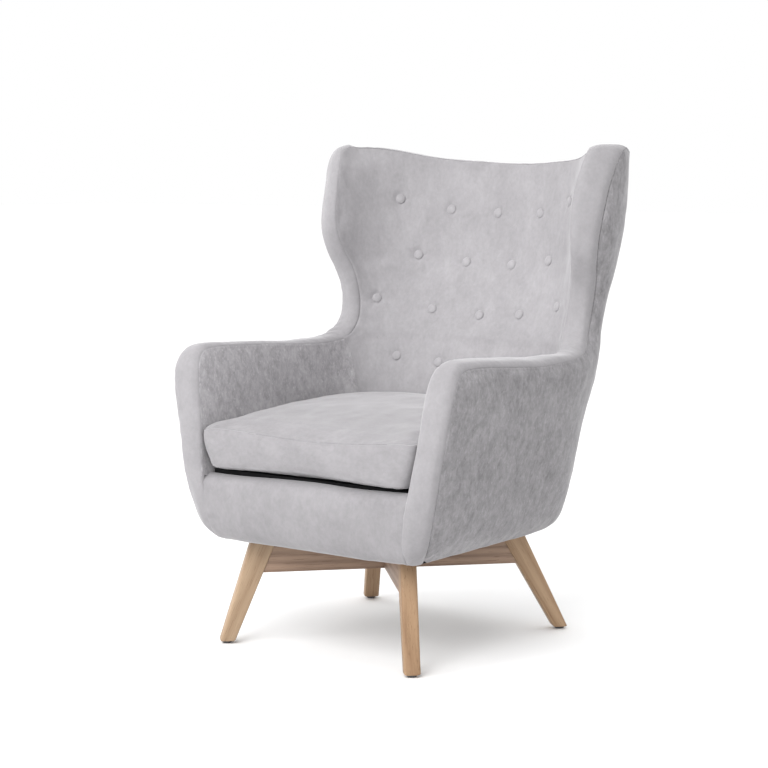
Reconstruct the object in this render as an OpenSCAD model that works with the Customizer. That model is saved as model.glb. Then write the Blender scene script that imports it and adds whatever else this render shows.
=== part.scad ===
// Winged tub chair: an upholstered shell with flared arms and a buttoned,
// reclined wing back, a loose seat cushion, and a crossed wooden base with
// four splayed legs. The seat faces -Y and the floor is Z = 0. Millimetres.

/* [Shell] */
// Full width of the shell across the wings
shell_w = 784; // [760:4:800]
// Thickness of the cover fabric with its backing
cover_t = 2; // [1.5:0.5:2.5]
// Height of the padded facing band above its seams
band_crown = 12; // [8:1:13]
// Thickness of the back padding
back_pad_t = 18; // [14:1:20]
// Thickness of the padding on the inside of the arms
arm_pad_t = 22; // [16:1:26]
// Thickness of the padding strip below the facing band
edge_pad_t = 9; // [6:1:10]

/* [Seat frame] */
// Thickness of the seat frame rails
rail_t = 24; // [20:1:26]
// Height of the side rails
side_rail_h = 66; // [56:1:72]
// Height of the front and rear rails
cross_rail_h = 90; // [84:1:94]
// Thickness of the cleats that the base bolts to
cleat_t = 22; // [18:1:24]

/* [Springs] */
// Number of seat springs
spring_count = 5; // [4:1:5]
// Wire diameter of the seat springs
spring_wire = 3.6; // [3:0.2:4]
// Half width of a spring's loops
spring_amp = 21; // [18:1:24]
// Rise of the springs at the middle
spring_rise = 8; // [4:1:10]

/* [Base] */
// Thickness of the crossed beams
beam_t = 28; // [24:1:30]
// Height of the crossed beams
beam_h = 72; // [68:1:72]
// Thickness of the legs
leg_t = 32; // [29:1:34]
// Height of the underside of the beams
beam_z = 145; // [140:1:146]
// Diameter of the bolts that hold the base to the cleats
bolt_d = 8; // [6:1:8]
// Diameter of the dowels between beams and legs
dowel_d = 10; // [8:1:12]
// Length of the dowels
dowel_l = 46; // [40:2:50]
// Radius of the floor glides
glide_r = 10; // [8:0.5:11]
// Height of the floor glides
glide_h = 5; // [4:0.5:6]

/* [Cushion] */
// Half width of the cushion at its top seam
cush_hw = 259; // [248:1:261]
// Height of the cushion at the middle of its crown
cush_crown = 14; // [8:1:16]
// How much higher the cushion's top is at the rear than at the front
cush_rise = 12; // [0:1:16]
// Thickness of the gap between cushion cover and core
core_gap = 3; // [2:0.5:5]

/* [Buttons] */
// Radius of the back buttons
button_r = 11.5; // [10:0.5:13]
// Height of the back buttons
button_h = 6; // [5:0.5:7]

/* [Hidden] */

$fn = 48;
fabric = [0.72, 0.71, 0.71];
fabric_dark = [0.62, 0.61, 0.61];
oak = [0.76, 0.66, 0.53];
pine = [0.80, 0.70, 0.52];
steel = [0.55, 0.56, 0.58];
foam = [0.90, 0.88, 0.78];
kx = shell_w / 784;

// The shell was laid out from the crossing of the base. This shift puts the
// origin below the middle of the whole chair.
y_shift = -80.3;
module place() { translate([0, y_shift, 0]) children(); }

// ---- tables: plan half widths, depths and curve powers against height ----
W_OUT = [[215,250],[250,281],[290,300],[350,317],[450,337],[560,355],[660,357],[760,367],[860,380],[950,388],[1030,392]];
B_OUT = [[215,318],[250,329],[400,353],[600,402],[800,446],[1030,470]];
P_O = [[220,3.4],[450,3.6],[660,3.8],[800,4.2],[1030,4.2]];
INSET = [[215,2],[560,4],[620,10],[700,16],[860,12],[950,7],[1030,5]];
W_IN = [[220,230],[300,245],[364,256],[450,267],[570,282],[670,291],[775,298],[900,308],[1030,318]];
B_IN = [[220,170],[450,228],[550,264],[670,315],[775,355],[900,390],[970,402],[1030,404]];
P_I = [[220,5],[550,4.6],[620,3.8],[700,3.2],[775,2.7],[900,2.5],[1030,2.5]];
YC = 70;
FRONT_TAPER = 12;
// Outer and inner seam of the facing band seen from the side, [y, z]
OUT = [[-236,222],[-258,250],[-270,285],[-279,330],[-283,400],[-282,470],[-279,530],[-264,568],[-230,588],[-150,591],[-40,587],[80,580],[165,580],[215,594],[246,625],[262,670],[260,715],[249,760],[236,805],[231,850],[238,900],[254,950],[277,983],[302,1002],[330,1008]];
INN = [[-268,222],[-288,250],[-297,285],[-299,330],[-292,395],[-281,465],[-275,525],[-262,565],[-232,590],[-160,594],[-40,590],[80,584],[165,582],[213,594],[235,622],[244,665],[241,710],[232,755],[214,800],[203,850],[205,900],[218,946],[237,977],[258,995],[284,1001]];
// Lower and rear border of the outer side panel, one point for each of OUT
REAR_SEAM = 0.86;
function rear_y(z) = REAR_SEAM * look(z, B_OUT);
LOW = concat([for (y = [-226,-208,-188,-164,-130,-95,-60,-30,0,40,90,140,195,240,264]) [y, 221]],
    [for (z = [222,250,300,360,430,500,580,660,745,830,915,990]) [rear_y(z), z]]);
ZT_O = 966;
ZT_I = 964;

// ---- helper functions ----
function look(t, tab) =
    let (n = len(tab))
    t <= tab[0][0] ? tab[0][1] : t >= tab[n-1][0] ? tab[n-1][1] :
    let (i = max([for (k = [0:n-2]) if (tab[k][0] <= t) k]),
         a = max(i-1, 0), c = min(i+2, n-1),
         h = tab[i+1][0] - tab[i][0], s = (t - tab[i][0]) / h,
         m0 = (tab[i+1][1] - tab[a][1]) / (tab[i+1][0] - tab[a][0]),
         m1 = (tab[c][1] - tab[i][1]) / (tab[c][0] - tab[i][0]))
    (2*s*s*s - 3*s*s + 1) * tab[i][1] + (s*s*s - 2*s*s + s) * h * m0
    + (3*s*s - 2*s*s*s) * tab[i+1][1] + (s*s*s - s*s) * h * m1;
function crv(t, pts) =
    let (n = len(pts) - 1, x = min(max(t, 0), 1) * n, i = min(floor(x), n-1), s = x - i,
         a = pts[max(i-1, 0)], b = pts[i], c = pts[i+1], d = pts[min(i+2, n)])
    0.5 * (2*b + (c-a)*s + (2*a - 5*b + 4*c - d)*s*s + (3*b - a - 3*c + d)*s*s*s);
function unit(v) = v / max(norm(v), 1e-9);
function mix(a, b, s) = a + (b - a) * s;
function wo(z) = look(z, W_OUT) * kx;
function wi(z) = look(z, W_IN) * kx;
function root(q, p) = pow(max(0, q), 1/p);
function xo(y, z) = y <= 0 ? wo(z) - FRONT_TAPER * pow(y/285, 2)
    : wo(z) * root(1 - pow(y / look(z, B_OUT), look(z, P_O)), look(z, P_O));
function xi(y, z) = y <= YC ? wi(z)
    : wi(z) * root(1 - pow((y-YC) / (look(z, B_IN)-YC), look(z, P_I)), look(z, P_I));
function yi(x, z) = YC + (look(z, B_IN)-YC) * root(1 - pow(abs(x) / wi(z), look(z, P_I)), look(z, P_I));
function ro(a, z) = 1 / root(pow(abs(cos(a)) / wo(z), look(z, P_O)) + pow(sin(a) / look(z, B_OUT), look(z, P_O)), look(z, P_O));
function ri(a, z) = 1 / root(pow(abs(cos(a)) / wi(z), look(z, P_I)) + pow(sin(a) / (look(z, B_IN)-YC), look(z, P_I)), look(z, P_I));

// seam points on the right-hand half, t runs 0..1 up the arm and wing and
// 1..2 along the top edge to the middle
function o_side(t) = let (p = crv(t, OUT)) [xo(p[0], p[1]) - look(p[1], INSET), p[0], p[1]];
function i_side(t) = let (p = crv(t, INN)) [xi(p[0], p[1]), p[0], p[1]];
o_end = o_side(1);
i_end = i_side(1);
ao = atan2(o_end[1], o_end[0]);
ai = atan2(i_end[1] - YC, i_end[0]);
function zto(a) = let (s = (a - ao) / (90 - ao)) ZT_O + (o_end[2] - ZT_O) * pow(1 - min(max(s, 0), 1), 2);
function o_top(s) = let (a = ao + (90 - ao) * s, z = zto(a), r = ro(a, z) - 4) [r*cos(a), r*sin(a), z];
function i_top(s) = let (a = ai + (90 - ai) * s, z = ZT_I + (i_end[2] - ZT_I) * pow(1 - s, 2), r = ri(a, z)) [r*cos(a), YC + r*sin(a), z];
function o_path(t) = t <= 1 ? o_side(t) : o_top(t - 1);
function i_path(t) = t <= 1 ? i_side(t) : i_top(t - 1);
// point on the facing band, v 0 at the inner seam to 1 at the outer seam,
// d below its surface
function band_pt(t, v, d) =
    let (e = 0.004, t0 = t + e > 2 ? 2 - 2*e : abs(t - 1) < e ? 1 - e : t, t1 = t0 + (abs(t - 1) < e ? 2*e : e),
         m0 = o_path(t0) + i_path(t0), m1 = o_path(t1) + i_path(t1),
         o = o_path(t), i = i_path(t), n = unit(cross(unit(o - i), unit(m1 - m0))))
    mix(i, o, v) + n * (band_crown * pow(max(0, 4*v*(1-v)), 0.6) - d);
// point on the outer side panel, v 0 at its lower and rear border to 1 at the seam
function side_pt(u, v, d) =
    let (a = crv(u, LOW), b = crv(u, OUT), q = mix(a, b, v), p = [xo(q[0], q[1]), q[0], q[1]],
         e = 2, py = [xo(q[0]+e, q[1]), q[0]+e, q[1]], pz = [xo(q[0], q[1]+e), q[0], q[1]+e],
         n = unit(cross(py - p, pz - p)))
    p - [look(q[1], INSET) * pow(v, 6), 0, 0] - n * d;
// point on the outer back panel, u -1..1 across, v 0 at the bottom to 1 at the top
function a_rear(z) = atan2(rear_y(z), xo(rear_y(z), z));
function back_pt(u, v, d) =
    let (zt = zto(90 - abs(u) * (90 - a_rear(990))) - 1, z = mix(221, zt, v),
         a = 90 - u * (90 - a_rear(z)), e = 1.5,
         p = [ro(a, z)*cos(a), ro(a, z)*sin(a), z],
         pa = [ro(a-e, z)*cos(a-e), ro(a-e, z)*sin(a-e), z],
         pz = [ro(a, z+2)*cos(a), ro(a, z+2)*sin(a), z+2],
         n = unit(cross(pa - p, pz - p)))
    p + n * d;
// border of the inner back panel on the right, height z
function y_edge(z) = z < 594 ? 212 + (z - 360) * 0.005 : crv(look(z, [[594,13],[622,14],[665,15],[710,16],[755,17],[800,18],[850,19],[900,20],[946,21],[977,22],[995,23],[1001,24]]) / 24, INN)[0];
// point on the inner back panel, u -1..1, v 0 at the deck to 1 at the top,
// d behind its surface
function iback_end(z) = min(y_edge(z) + 1.5, YC + (look(z, B_IN) - YC) * 0.9);
function iback_pt(u, v, d) =
    let (zt = ZT_I + (i_end[2] - ZT_I) * pow(abs(u), 2) - 2, z = mix(364, zt, v),
         ye = iback_end(z), xe = xi(ye, z), ae = atan2(ye - YC, xe),
         a = 90 - u * (90 - ae), e = 1.5,
         p = [ri(a, z)*cos(a), YC + ri(a, z)*sin(a), z],
         pa = [ri(a-e, z)*cos(a-e), YC + ri(a-e, z)*sin(a-e), z],
         pz = [ri(a, z+2)*cos(a), YC + ri(a, z+2)*sin(a), z+2],
         n = unit(cross(pa - p, pz - p)))
    p - n * d;

// closed solid between two grids of points, outer(u, v) and inner(u, v)
module slab(nu, nv, f0, f1, flip = false) {
    pts = concat([for (i = [0:nu], j = [0:nv]) f0(i/nu, j/nv)], [for (i = [0:nu], j = [0:nv]) f1(i/nu, j/nv)]);
    m = (nu+1) * (nv+1);
    function id(i, j, k) = k*m + i*(nv+1) + j;
    fs = concat(
        [for (i = [0:nu-1], j = [0:nv-1]) each [[id(i,j,0), id(i+1,j,0), id(i+1,j+1,0)], [id(i,j,0), id(i+1,j+1,0), id(i,j+1,0)]]],
        [for (i = [0:nu-1], j = [0:nv-1]) each [[id(i,j,1), id(i+1,j+1,1), id(i+1,j,1)], [id(i,j,1), id(i,j+1,1), id(i+1,j+1,1)]]],
        [for (i = [0:nu-1]) each [[id(i,0,0), id(i,0,1), id(i+1,0,1)], [id(i,0,0), id(i+1,0,1), id(i+1,0,0)]]],
        [for (i = [0:nu-1]) each [[id(i,nv,0), id(i+1,nv,1), id(i,nv,1)], [id(i,nv,0), id(i+1,nv,0), id(i+1,nv,1)]]],
        [for (j = [0:nv-1]) each [[id(0,j,0), id(0,j+1,1), id(0,j,1)], [id(0,j,0), id(0,j+1,0), id(0,j+1,1)]]],
        [for (j = [0:nv-1]) each [[id(nu,j,0), id(nu,j,1), id(nu,j+1,1)], [id(nu,j,0), id(nu,j+1,1), id(nu,j+1,0)]]]);
    polyhedron(pts, flip ? [for (f = fs) [f[2], f[1], f[0]]] : fs, convexity = 6);
}
// straight rail from p to q with its w side kept close to the X direction
module rail(p, q, w, t) {
    v = q - p; l = norm(v);
    translate(p) rotate([-asin(v[1]/l), atan2(v[0], v[2]), 0]) translate([-w/2, -t/2, 0]) cube([w, t, l]);
}
module both_sides() { children(); mirror([1, 0, 0]) children(); }

// ---- base ----
beam_a = 46.9;
beam_top = beam_z + beam_h;
inner_r = 266.5;
// Inner and outer face of a leg: radius at height z
front_in = 0.42; front_out = 0.315; rear_in = 0.58; rear_out = 0.475;
leg_ease = 5;
function leg_in(z, s) = inner_r + s * (145 - z);
foot_w = 30;
function leg_profile(si, so) =
    let (r0 = leg_in(glide_h, si), r1 = leg_in(beam_top, si), ro0 = r0 + foot_w, ro1 = ro0 - so * (beam_top - glide_h))
    [[r0 + 3, glide_h], [ro0 - 3, glide_h], [ro0, glide_h + 3], [ro1, beam_top - 3], [ro1 - 3, beam_top], [r1, beam_top], [r0, glide_h + 3]];
function foot_r(si) = leg_in(glide_h, si) + foot_w/2;
dowel_zs = [beam_z + 18, beam_z + 46];
module dowel_at(si, z, r, l) {
    translate([leg_in(z, si), 0, z]) rotate([0, 90, 0]) translate([0, 0, -l/2]) cylinder(r = r, h = l);
}
// leg in its own radial plane, x is the radius
module leg(si, so) {
    ro0 = leg_in(glide_h, si) + foot_w;
    difference() {
        rotate([90, 0, 0]) translate([0, 0, -leg_t/2]) linear_extrude(leg_t) polygon(leg_profile(si, so));
        for (m = [-1, 1]) {
            translate([ro0, m*leg_t/2, glide_h]) rotate([0, -atan(so), 0]) rotate([0, 0, 45]) translate([-leg_ease*0.72, -leg_ease*0.72, -20]) cube([leg_ease*1.44, leg_ease*1.44, 260]);
            translate([leg_in(glide_h, si), m*leg_t/2, glide_h]) rotate([0, -atan(si), 0]) rotate([0, 0, 45]) translate([-2, -2, -20]) cube([4, 4, 171 - 11*si]);
        }
        for (z = dowel_zs) dowel_at(si, z, dowel_d/2 + 0.1, dowel_l + 1);
        translate([foot_r(si), 0, glide_h - 1]) cylinder(r = 1.35, h = 21, $fn = 24);
    }
}
module at_leg(k) { place() rotate([0, 0, [-beam_a, 180 + beam_a, beam_a, 180 - beam_a][k]]) children(); }
module leg_front_left() { color(oak) at_leg(0) leg(front_in, front_out); }
module leg_front_right() { color(oak) at_leg(1) leg(front_in, front_out); }
module leg_rear_left() { color(oak) at_leg(2) leg(rear_in, rear_out); }
module leg_rear_right() { color(oak) at_leg(3) leg(rear_in, rear_out); }

bolt_r = 174;
bore_h = 9; // the bolt heads sit in counterbores from below
// beam with its rear end at +x and its front end at -x, mitred to the legs
module beam(notch_up) {
    zc = beam_z + beam_h/2;
    difference() {
        rotate([90, 0, 0]) translate([0, 0, -beam_t/2]) linear_extrude(beam_t)
            polygon([[-leg_in(beam_z, front_in), beam_z], [leg_in(beam_z, rear_in), beam_z], [leg_in(beam_top, rear_in), beam_top], [-leg_in(beam_top, front_in), beam_top]]);
        rotate([0, 0, notch_up ? -2*beam_a : 2*beam_a]) translate([-60, -beam_t/2 - 0.1, notch_up ? zc : beam_z - 1])
            cube([120, beam_t + 0.2, beam_h/2 + 1]);
        for (s = [-1, 1]) translate([s*bolt_r, 0, beam_z - 1]) {
            cylinder(r = bolt_d/2 + 0.2, h = beam_h + 2);
            cylinder(r = bolt_d + 0.4, h = bore_h + 1);
        }
        for (z = dowel_zs) {
            mirror([1, 0, 0]) dowel_at(front_in, z, dowel_d/2 + 0.1, dowel_l + 1);
            dowel_at(rear_in, z, dowel_d/2 + 0.1, dowel_l + 1);
        }
    }
}
// the lower beam runs from the front right foot to the rear left foot
module cross_beam_lower() { color(oak) place() rotate([0, 0, beam_a]) beam(true); }
module cross_beam_upper() { color(oak) place() rotate([0, 0, 180 - beam_a]) beam(false); }
module leg_dowels() {
    color(pine) for (k = [0:3], z = dowel_zs) at_leg(k) dowel_at(k < 2 ? front_in : rear_in, z, dowel_d/2, dowel_l);
}
module floor_glides() {
    color([0.32, 0.31, 0.30]) for (k = [0:3]) at_leg(k) translate([foot_r(k < 2 ? front_in : rear_in), 0, 0])
        rotate_extrude() polygon([[0, 0], [glide_r - 1.8, 0], [glide_r, 1.6], [glide_r, glide_h], [1.35, glide_h], [1.35, 2], [0, 2]]);
}
module glide_nails() {
    color(steel) for (k = [0:3]) at_leg(k) translate([foot_r(k < 2 ? front_in : rear_in), 0, 2.1])
        rotate_extrude($fn = 24) polygon([[0, 0], [1.2, 0], [1.2, 18], [0, 21]]);
}
dust_z = beam_top + 1;
cleat_z = dust_z + 1.5;
cleat_top = cleat_z + cleat_t;
module at_bolts() { for (k = [0:3]) at_leg(k) translate([bolt_r, 0, 0]) children(); }
module base_bolts() {
    color(steel) at_bolts() union() {
        translate([0, 0, beam_z + bore_h - 1.8]) cylinder(r = bolt_d/2, h = cleat_top + 4 - beam_z - bore_h);
        translate([0, 0, beam_z + bore_h - 1.8 - 5.3]) cylinder(r = bolt_d * 0.82, h = 5.3, $fn = 6);
    }
}
module base_washers() {
    color(steel) at_bolts() translate([0, 0, beam_z + bore_h - 1.8]) difference() {
        cylinder(r = bolt_d, h = 1.8);
        translate([0, 0, -1]) cylinder(r = bolt_d/2 + 0.2, h = 4);
    }
}
module base_tee_nuts() {
    color(steel) at_bolts() translate([0, 0, cleat_top]) difference() {
        union() { cylinder(r = bolt_d * 1.3, h = 1.6); translate([0, 0, 1.6]) cylinder(r = bolt_d * 0.75, h = 7); }
        translate([0, 0, -1]) cylinder(r = bolt_d/2 + 0.1, h = 12);
    }
}

// ---- wooden frame ----
rail_z = dust_z + 1.5;
rx = 228; ry0 = -262; ry1 = 240;
rail_top = rail_z + cross_rail_h;
module front_rail() { color(pine) place() translate([-rx + 20, ry0, rail_z + 4]) cube([2*rx - 40, rail_t, cross_rail_h - 4]); }
module rear_rail() { color(pine) place() translate([-rx + 12, ry1 - rail_t, rail_z]) cube([2*rx - 24, rail_t, cross_rail_h]); }
module side_rail_r() { place() translate([rx - rail_t - 12, ry0 + rail_t, rail_z]) cube([rail_t, ry1 - ry0 - 2*rail_t, side_rail_h]); }
module side_rail_left() { color(pine) side_rail_r(); }
module side_rail_right() { color(pine) mirror([1, 0, 0]) side_rail_r(); }
module corner_blocks() {
    color(pine) place() both_sides() for (s = [0, 1])
        translate([rx - rail_t - 12, s == 0 ? ry0 + rail_t : ry1 - rail_t, rail_z + 26])
            linear_extrude(34) polygon([[0, 0], [-62, 0], [-62, s == 0 ? 14 : -14], [-14, s == 0 ? 62 : -62], [0, s == 0 ? 62 : -62]]);
}
module base_cleats() {
    cw = rx - rail_t - 12;
    color(pine) place() for (s = [-1, 1]) difference() {
        translate([-cw, s*bolt_r*sin(beam_a) - 32, cleat_z]) cube([2*cw, 64, cleat_t]);
        for (m = [-1, 1]) translate([m*bolt_r*cos(beam_a), s*bolt_r*sin(beam_a), cleat_z - 1]) cylinder(r = bolt_d/2 + 0.2, h = cleat_t + 2);
    }
}
// arm: an upright at the front, and a board along the top
module arm_post_r() {
    place() translate([0, -212, 0]) rotate([90, 0, 0]) linear_extrude(22)
        polygon(concat([[217, rail_z + 4], [217, 282], [252, 306], [263, 345], [283, 366], [293.5, 450], [302, 545]],
            [for (z = [545, 500, 450, 400, 350, 310, 280, 255, 240, 230]) [wo(z) - 14.5 - (z < 270 ? 3 : 0), z]], [[wo(230) - 26, rail_z + 4]]));
}
module arm_post_left() { color(pine) arm_post_r(); }
module arm_post_right() { color(pine) mirror([1, 0, 0]) arm_post_r(); }
module arm_board_r() {
    place() translate([297, -246, 549]) linear_extrude(18) polygon([[3, 0], [30, 0], [36, 120], [36, 330], [30, 445], [20, 500], [0, 500], [0, 60]]);
}
module arm_board_left() { color(pine) arm_board_r(); }
module arm_board_right() { color(pine) mirror([1, 0, 0]) arm_board_r(); }
// back: two reclined posts joined by a top rail and a tacking rail
post_bot = [179, ry1 + 17, rail_z + 4];
post_top = [252, 409, 875];
function post_at(z) = mix(post_bot, post_top, (z - post_bot[2]) / (post_top[2] - post_bot[2]));
module back_post_r() { place() rail(post_bot, post_top, 30, 32); }
module back_post_left() { color(pine) back_post_r(); }
module back_post_right() { color(pine) mirror([1, 0, 0]) back_post_r(); }
module back_top_rail() {
    color(pine) place() translate([0, 0, 880]) linear_extrude(44) polygon(concat(
        [for (a = [56:4:124]) let (r = ro(a, 880) - 6) [r*cos(a), r*sin(a)]],
        [for (a = [124:-4:56]) let (r = ro(a, 880) - 34) [r*cos(a), r*sin(a)]]));
}
module back_tack_rail() {
    p = post_at(400);
    color(pine) place() translate([-p[0] + 18, p[1] - 10, 378]) rotate([-13, 0, 0]) cube([2*p[0] - 36, 20, 44]);
}
// wing: a shaped board on each side, held to the back post by two stays
WING = [[234,570.5],[250,608],[272,650],[275,700],[266,750],[254,800],[249,850],[256,893],[269,922],[290,944],[316,950],[332,900],[328,820],[311,740],[293,660],[284,610],[270,570.5]];
module wing_board_r() {
    place() translate([298, 0, 569.5]) rotate([0, 5.2, 0]) translate([0, 0, -569.5]) rotate([90, 0, 90]) linear_extrude(16)
        polygon([for (k = [0:48]) crv(k/48, WING)]);
}
module wing_board_left() { color(pine) wing_board_r(); }
module wing_board_right() { color(pine) mirror([1, 0, 0]) wing_board_r(); }
module wing_stays() {
    color(pine) place() both_sides() {
        translate([0, 0, 625]) linear_extrude(30) polygon([[248, 342], [248, 364], [303, 290], [303, 266]]);
        translate([0, 0, 845]) linear_extrude(26) polygon([[270, 392], [270, 414], [322, 338], [322, 308]]);
    }
}

// ---- springs and webbing ----
spring_y0 = ry0 + rail_t/2; spring_y1 = ry1 - rail_t/2;
spring_z = rail_top + spring_wire/2 + 1.4;
function spring_pt(s) =
    let (f = min(1, min(s, 1-s) * 12))
    [spring_amp * f * sin(360 * 8 * s), mix(spring_y0, spring_y1, s), spring_z + spring_rise * 4*s*(1-s)];
// wire of radius r along a list of points
module wire(p, r, ns) {
    n = len(p) - 1;
    pts = [for (k = [0:n]) let (t = unit(p[min(k+1, n)] - p[max(k-1, 0)]), a = unit(cross(t, [0, 0, 1])), b = cross(a, t))
        each [for (j = [0:ns-1]) p[k] + r*cos(360*j/ns)*a + r*sin(360*j/ns)*b]];
    polyhedron(pts, concat(
        [[for (j = [0:ns-1]) j]],
        [for (k = [0:n-1], j = [0:ns-1]) each [[k*ns+j, (k+1)*ns+j, (k+1)*ns+(j+1)%ns], [k*ns+j, (k+1)*ns+(j+1)%ns, k*ns+(j+1)%ns]]],
        [[for (j = [ns-1:-1:0]) n*ns+j]]), convexity = 8);
}
function spring_x(k) = (k - (spring_count-1)/2) * 80;
module seat_springs() {
    color(steel) place() for (k = [0:spring_count-1]) translate([spring_x(k), 0, 0])
        wire([for (i = [0:48]) spring_pt(i/48)], spring_wire/2, 4);
}
module spring_clips() {
    r = spring_wire/2 + 0.7;
    color(steel) place() for (k = [0:spring_count-1], s = [0, 1])
        translate([spring_x(k) - 11, s == 0 ? spring_y0 + 3 : spring_y1 - 3, rail_top]) mirror([0, s, 0]) rotate([90, 0, 90]) linear_extrude(22)
            polygon([[-9, 0], [6, 0], [6, 1.2], [-r-1.4, 1.2], [-r-1.4, 2*r+1.2], [r+3, 2*r+1.2], [r+3, 2*r+2.4], [-r-2.6, 2*r+2.4], [-r-2.6, 1.2], [-9, 1.2]]);
}
module back_webbing() {
    color([0.35, 0.33, 0.30]) place() for (z = [470, 570, 670, 770]) {
        p = post_at(z);
        translate([-p[0] - 12, p[1] + 17, z]) rotate([-13, 0, 0]) translate([0, 0, -25]) cube([2*p[0] + 24, 1.5, 50]);
    }
}

// ---- padding ----
deck_z = 358;
// follows the inside of the shell, g inside it, with a straight front edge
function deck_outline(g) = concat([[-wi(deck_z) + 8 + g, -257], [wi(deck_z) - 8 - g, -257]],
    [for (a = [0:6:180]) let (w = wi(deck_z) - 4 - g, b = look(deck_z, B_IN) - YC - 4 - g, p = look(deck_z, P_I),
        r = 1 / root(pow(abs(cos(a)) / w, p) + pow(sin(a) / b, p), p)) [r*cos(a), YC + r*sin(a)]]);
module deck_pad() { color(foam) place() translate([0, 0, rail_top + 15]) linear_extrude(deck_z - rail_top - 15) polygon(deck_outline(6)); }
module deck_cloth() { color([0.25, 0.25, 0.26]) place() translate([0, 0, deck_z + 0.5]) linear_extrude(1.5) polygon(deck_outline(0)); }

function arm_in_pt(u, v, d) = let (z = mix(368, 546, v), y = mix(-252, min(iback_end(z) - 40, 150), u)) [xi(y, z) + d, y, z];
module arm_pad_r() {
    place() slab(10, 5, function(u, v) arm_in_pt(u, v, 4.5), function(u, v) arm_in_pt(u, v, 4.5 + arm_pad_t - 8 + 3*sin(180*v)), true);
}
module arm_pad_left() { color(foam) arm_pad_r(); }
module arm_pad_right() { color(foam) mirror([1, 0, 0]) arm_pad_r(); }
module edge_pad_r() {
    place() slab(46, 3, function(u, v) band_pt(0.03 + 0.955*u, 0.12 + 0.76*v, cover_t + 2), function(u, v) band_pt(0.03 + 0.955*u, 0.16 + 0.68*v, cover_t + 2 + edge_pad_t), false);
}
module edge_pad_left() { color(foam) edge_pad_r(); }
module edge_pad_right() { color(foam) mirror([1, 0, 0]) edge_pad_r(); }
// top edge across the middle, u 0..1 from right to left
function top_pt(u, v, d) = let (s = abs(2*u - 1), p = band_pt(2 - s * 0.997, v, d)) [p[0] * sign(1 - 2*u + 1e-9), p[1], p[2]];
module top_edge_pad() {
    color(foam) place() slab(24, 3, function(u, v) top_pt(u, 0.14 + 0.72*v, cover_t + 2), function(u, v) top_pt(u, 0.2 + 0.6*v, cover_t + 2 + edge_pad_t), false);
}
module back_pad() {
    color(foam) place() slab(22, 12, function(u, v) iback_pt(1.9*u - 0.95, 0.02 + 0.94*v, cover_t + 6.5), function(u, v) iback_pt(1.84*u - 0.92, 0.02 + 0.94*v, cover_t + 6.5 + back_pad_t), false);
}
// front of the seat, below the cushion: u -1..1, v 0 at the bottom to 1 over the top
FRONT = [[-250,219],[-267,221],[-284,236],[-295,262],[-299,295],[-298,325],[-293,348],[-280,360],[-262,362]];
function front_pt(u, v, d) =
    let (q = crv(v, FRONT), q2 = crv(v + 0.01, FRONT), q0 = crv(v - 0.01, FRONT), t = unit(q2 - q0),
         w = look(q[1], [[219,226],[250,233],[300,243],[362,254]]))
    [w * u, q[0] - 4*(1 - u*u) + t[1]*d, q[1] - t[0]*d];
module front_pad() {
    color(foam) place() slab(12, 10, function(u, v) front_pt(1.96*u - 0.98, 0.14 + 0.82*v, cover_t + 1.5), function(u, v) [(1.96*u - 0.98) * mix(231, 247, v), ry0 - 0.5, mix(232, 346, v)], false);
}

// ---- covers ----
module outer_side_r() {
    place() slab(36, 6, function(u, v) side_pt(0.002 + 0.996*u, 0.004 + 0.99*v, 0), function(u, v) side_pt(0.002 + 0.996*u, 0.004 + 0.986*v, cover_t), true);
}
module outer_side_cover_left() { color(fabric_dark) outer_side_r(); }
module outer_side_cover_right() { color(fabric_dark) mirror([1, 0, 0]) outer_side_r(); }
module outer_back_cover() {
    color(fabric_dark) place() slab(20, 14, function(u, v) back_pt(1.982*u - 0.991, v, 0), function(u, v) back_pt(1.982*u - 0.991, v, cover_t), true);
}
module band_r() {
    place() slab(56, 5, function(u, v) band_pt(0.002 + 0.995*u, 0.01 + 0.98*v, 0), function(u, v) band_pt(0.002 + 0.995*u, 0.03 + 0.94*v, cover_t), false);
}
module facing_band_left() { color(fabric) band_r(); }
module facing_band_right() { color(fabric) mirror([1, 0, 0]) band_r(); }
module top_band() {
    color(fabric) place() slab(28, 5, function(u, v) top_pt(u, 0.01 + 0.98*v, 0), function(u, v) top_pt(u, 0.03 + 0.94*v, cover_t), false);
}
// borders of the inner arm panel in [y, z]: the inner seam along its front and
// top, the deck below, and the seam with the back panel behind
function arm_l(r) = crv(mix(3.56, 5.6, r) / 24, INN);
function arm_t(s) = crv(mix(5.6, 12.98, s) / 24, INN);
function arm_r(r) = let (z = mix(366, 593, r)) [iback_end(z) - 1, z];
function arm_b(s) = mix(arm_l(0), arm_r(0), s);
function arm_cov_pt(s, r, d) =
    let (q = (1-r)*arm_b(s) + r*arm_t(s) + (1-s)*arm_l(r) + s*arm_r(r)
        - ((1-s)*(1-r)*arm_l(0) + s*(1-r)*arm_r(0) + (1-s)*r*arm_t(0) + s*r*arm_r(1)))
    [xi(q[0], q[1]) + d, q[0], q[1]];
module inner_arm_r() {
    place() slab(16, 6, function(u, v) arm_cov_pt(0.004 + 0.993*pow(u, 0.85), 0.99*v, 0.3), function(u, v) arm_cov_pt(0.004 + 0.993*pow(u, 0.85), 0.99*v, 0.3 + cover_t), true);
}
module inner_arm_cover_left() { color(fabric_dark) inner_arm_r(); }
module inner_arm_cover_right() { color(fabric_dark) mirror([1, 0, 0]) inner_arm_r(); }
module inner_back_cover() {
    color(fabric) place() slab(26, 14, function(u, v) iback_pt(1.996*u - 0.998, 1 - pow(1 - v, 1.6), 0), function(u, v) iback_pt(1.996*u - 0.998, 1 - pow(1 - v, 1.6), cover_t), false);
}
module front_rail_cover() {
    color(fabric) place() slab(14, 12, function(u, v) front_pt(2*u - 1, v, 0), function(u, v) front_pt(2*u - 1, v, cover_t), false);
}
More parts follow.
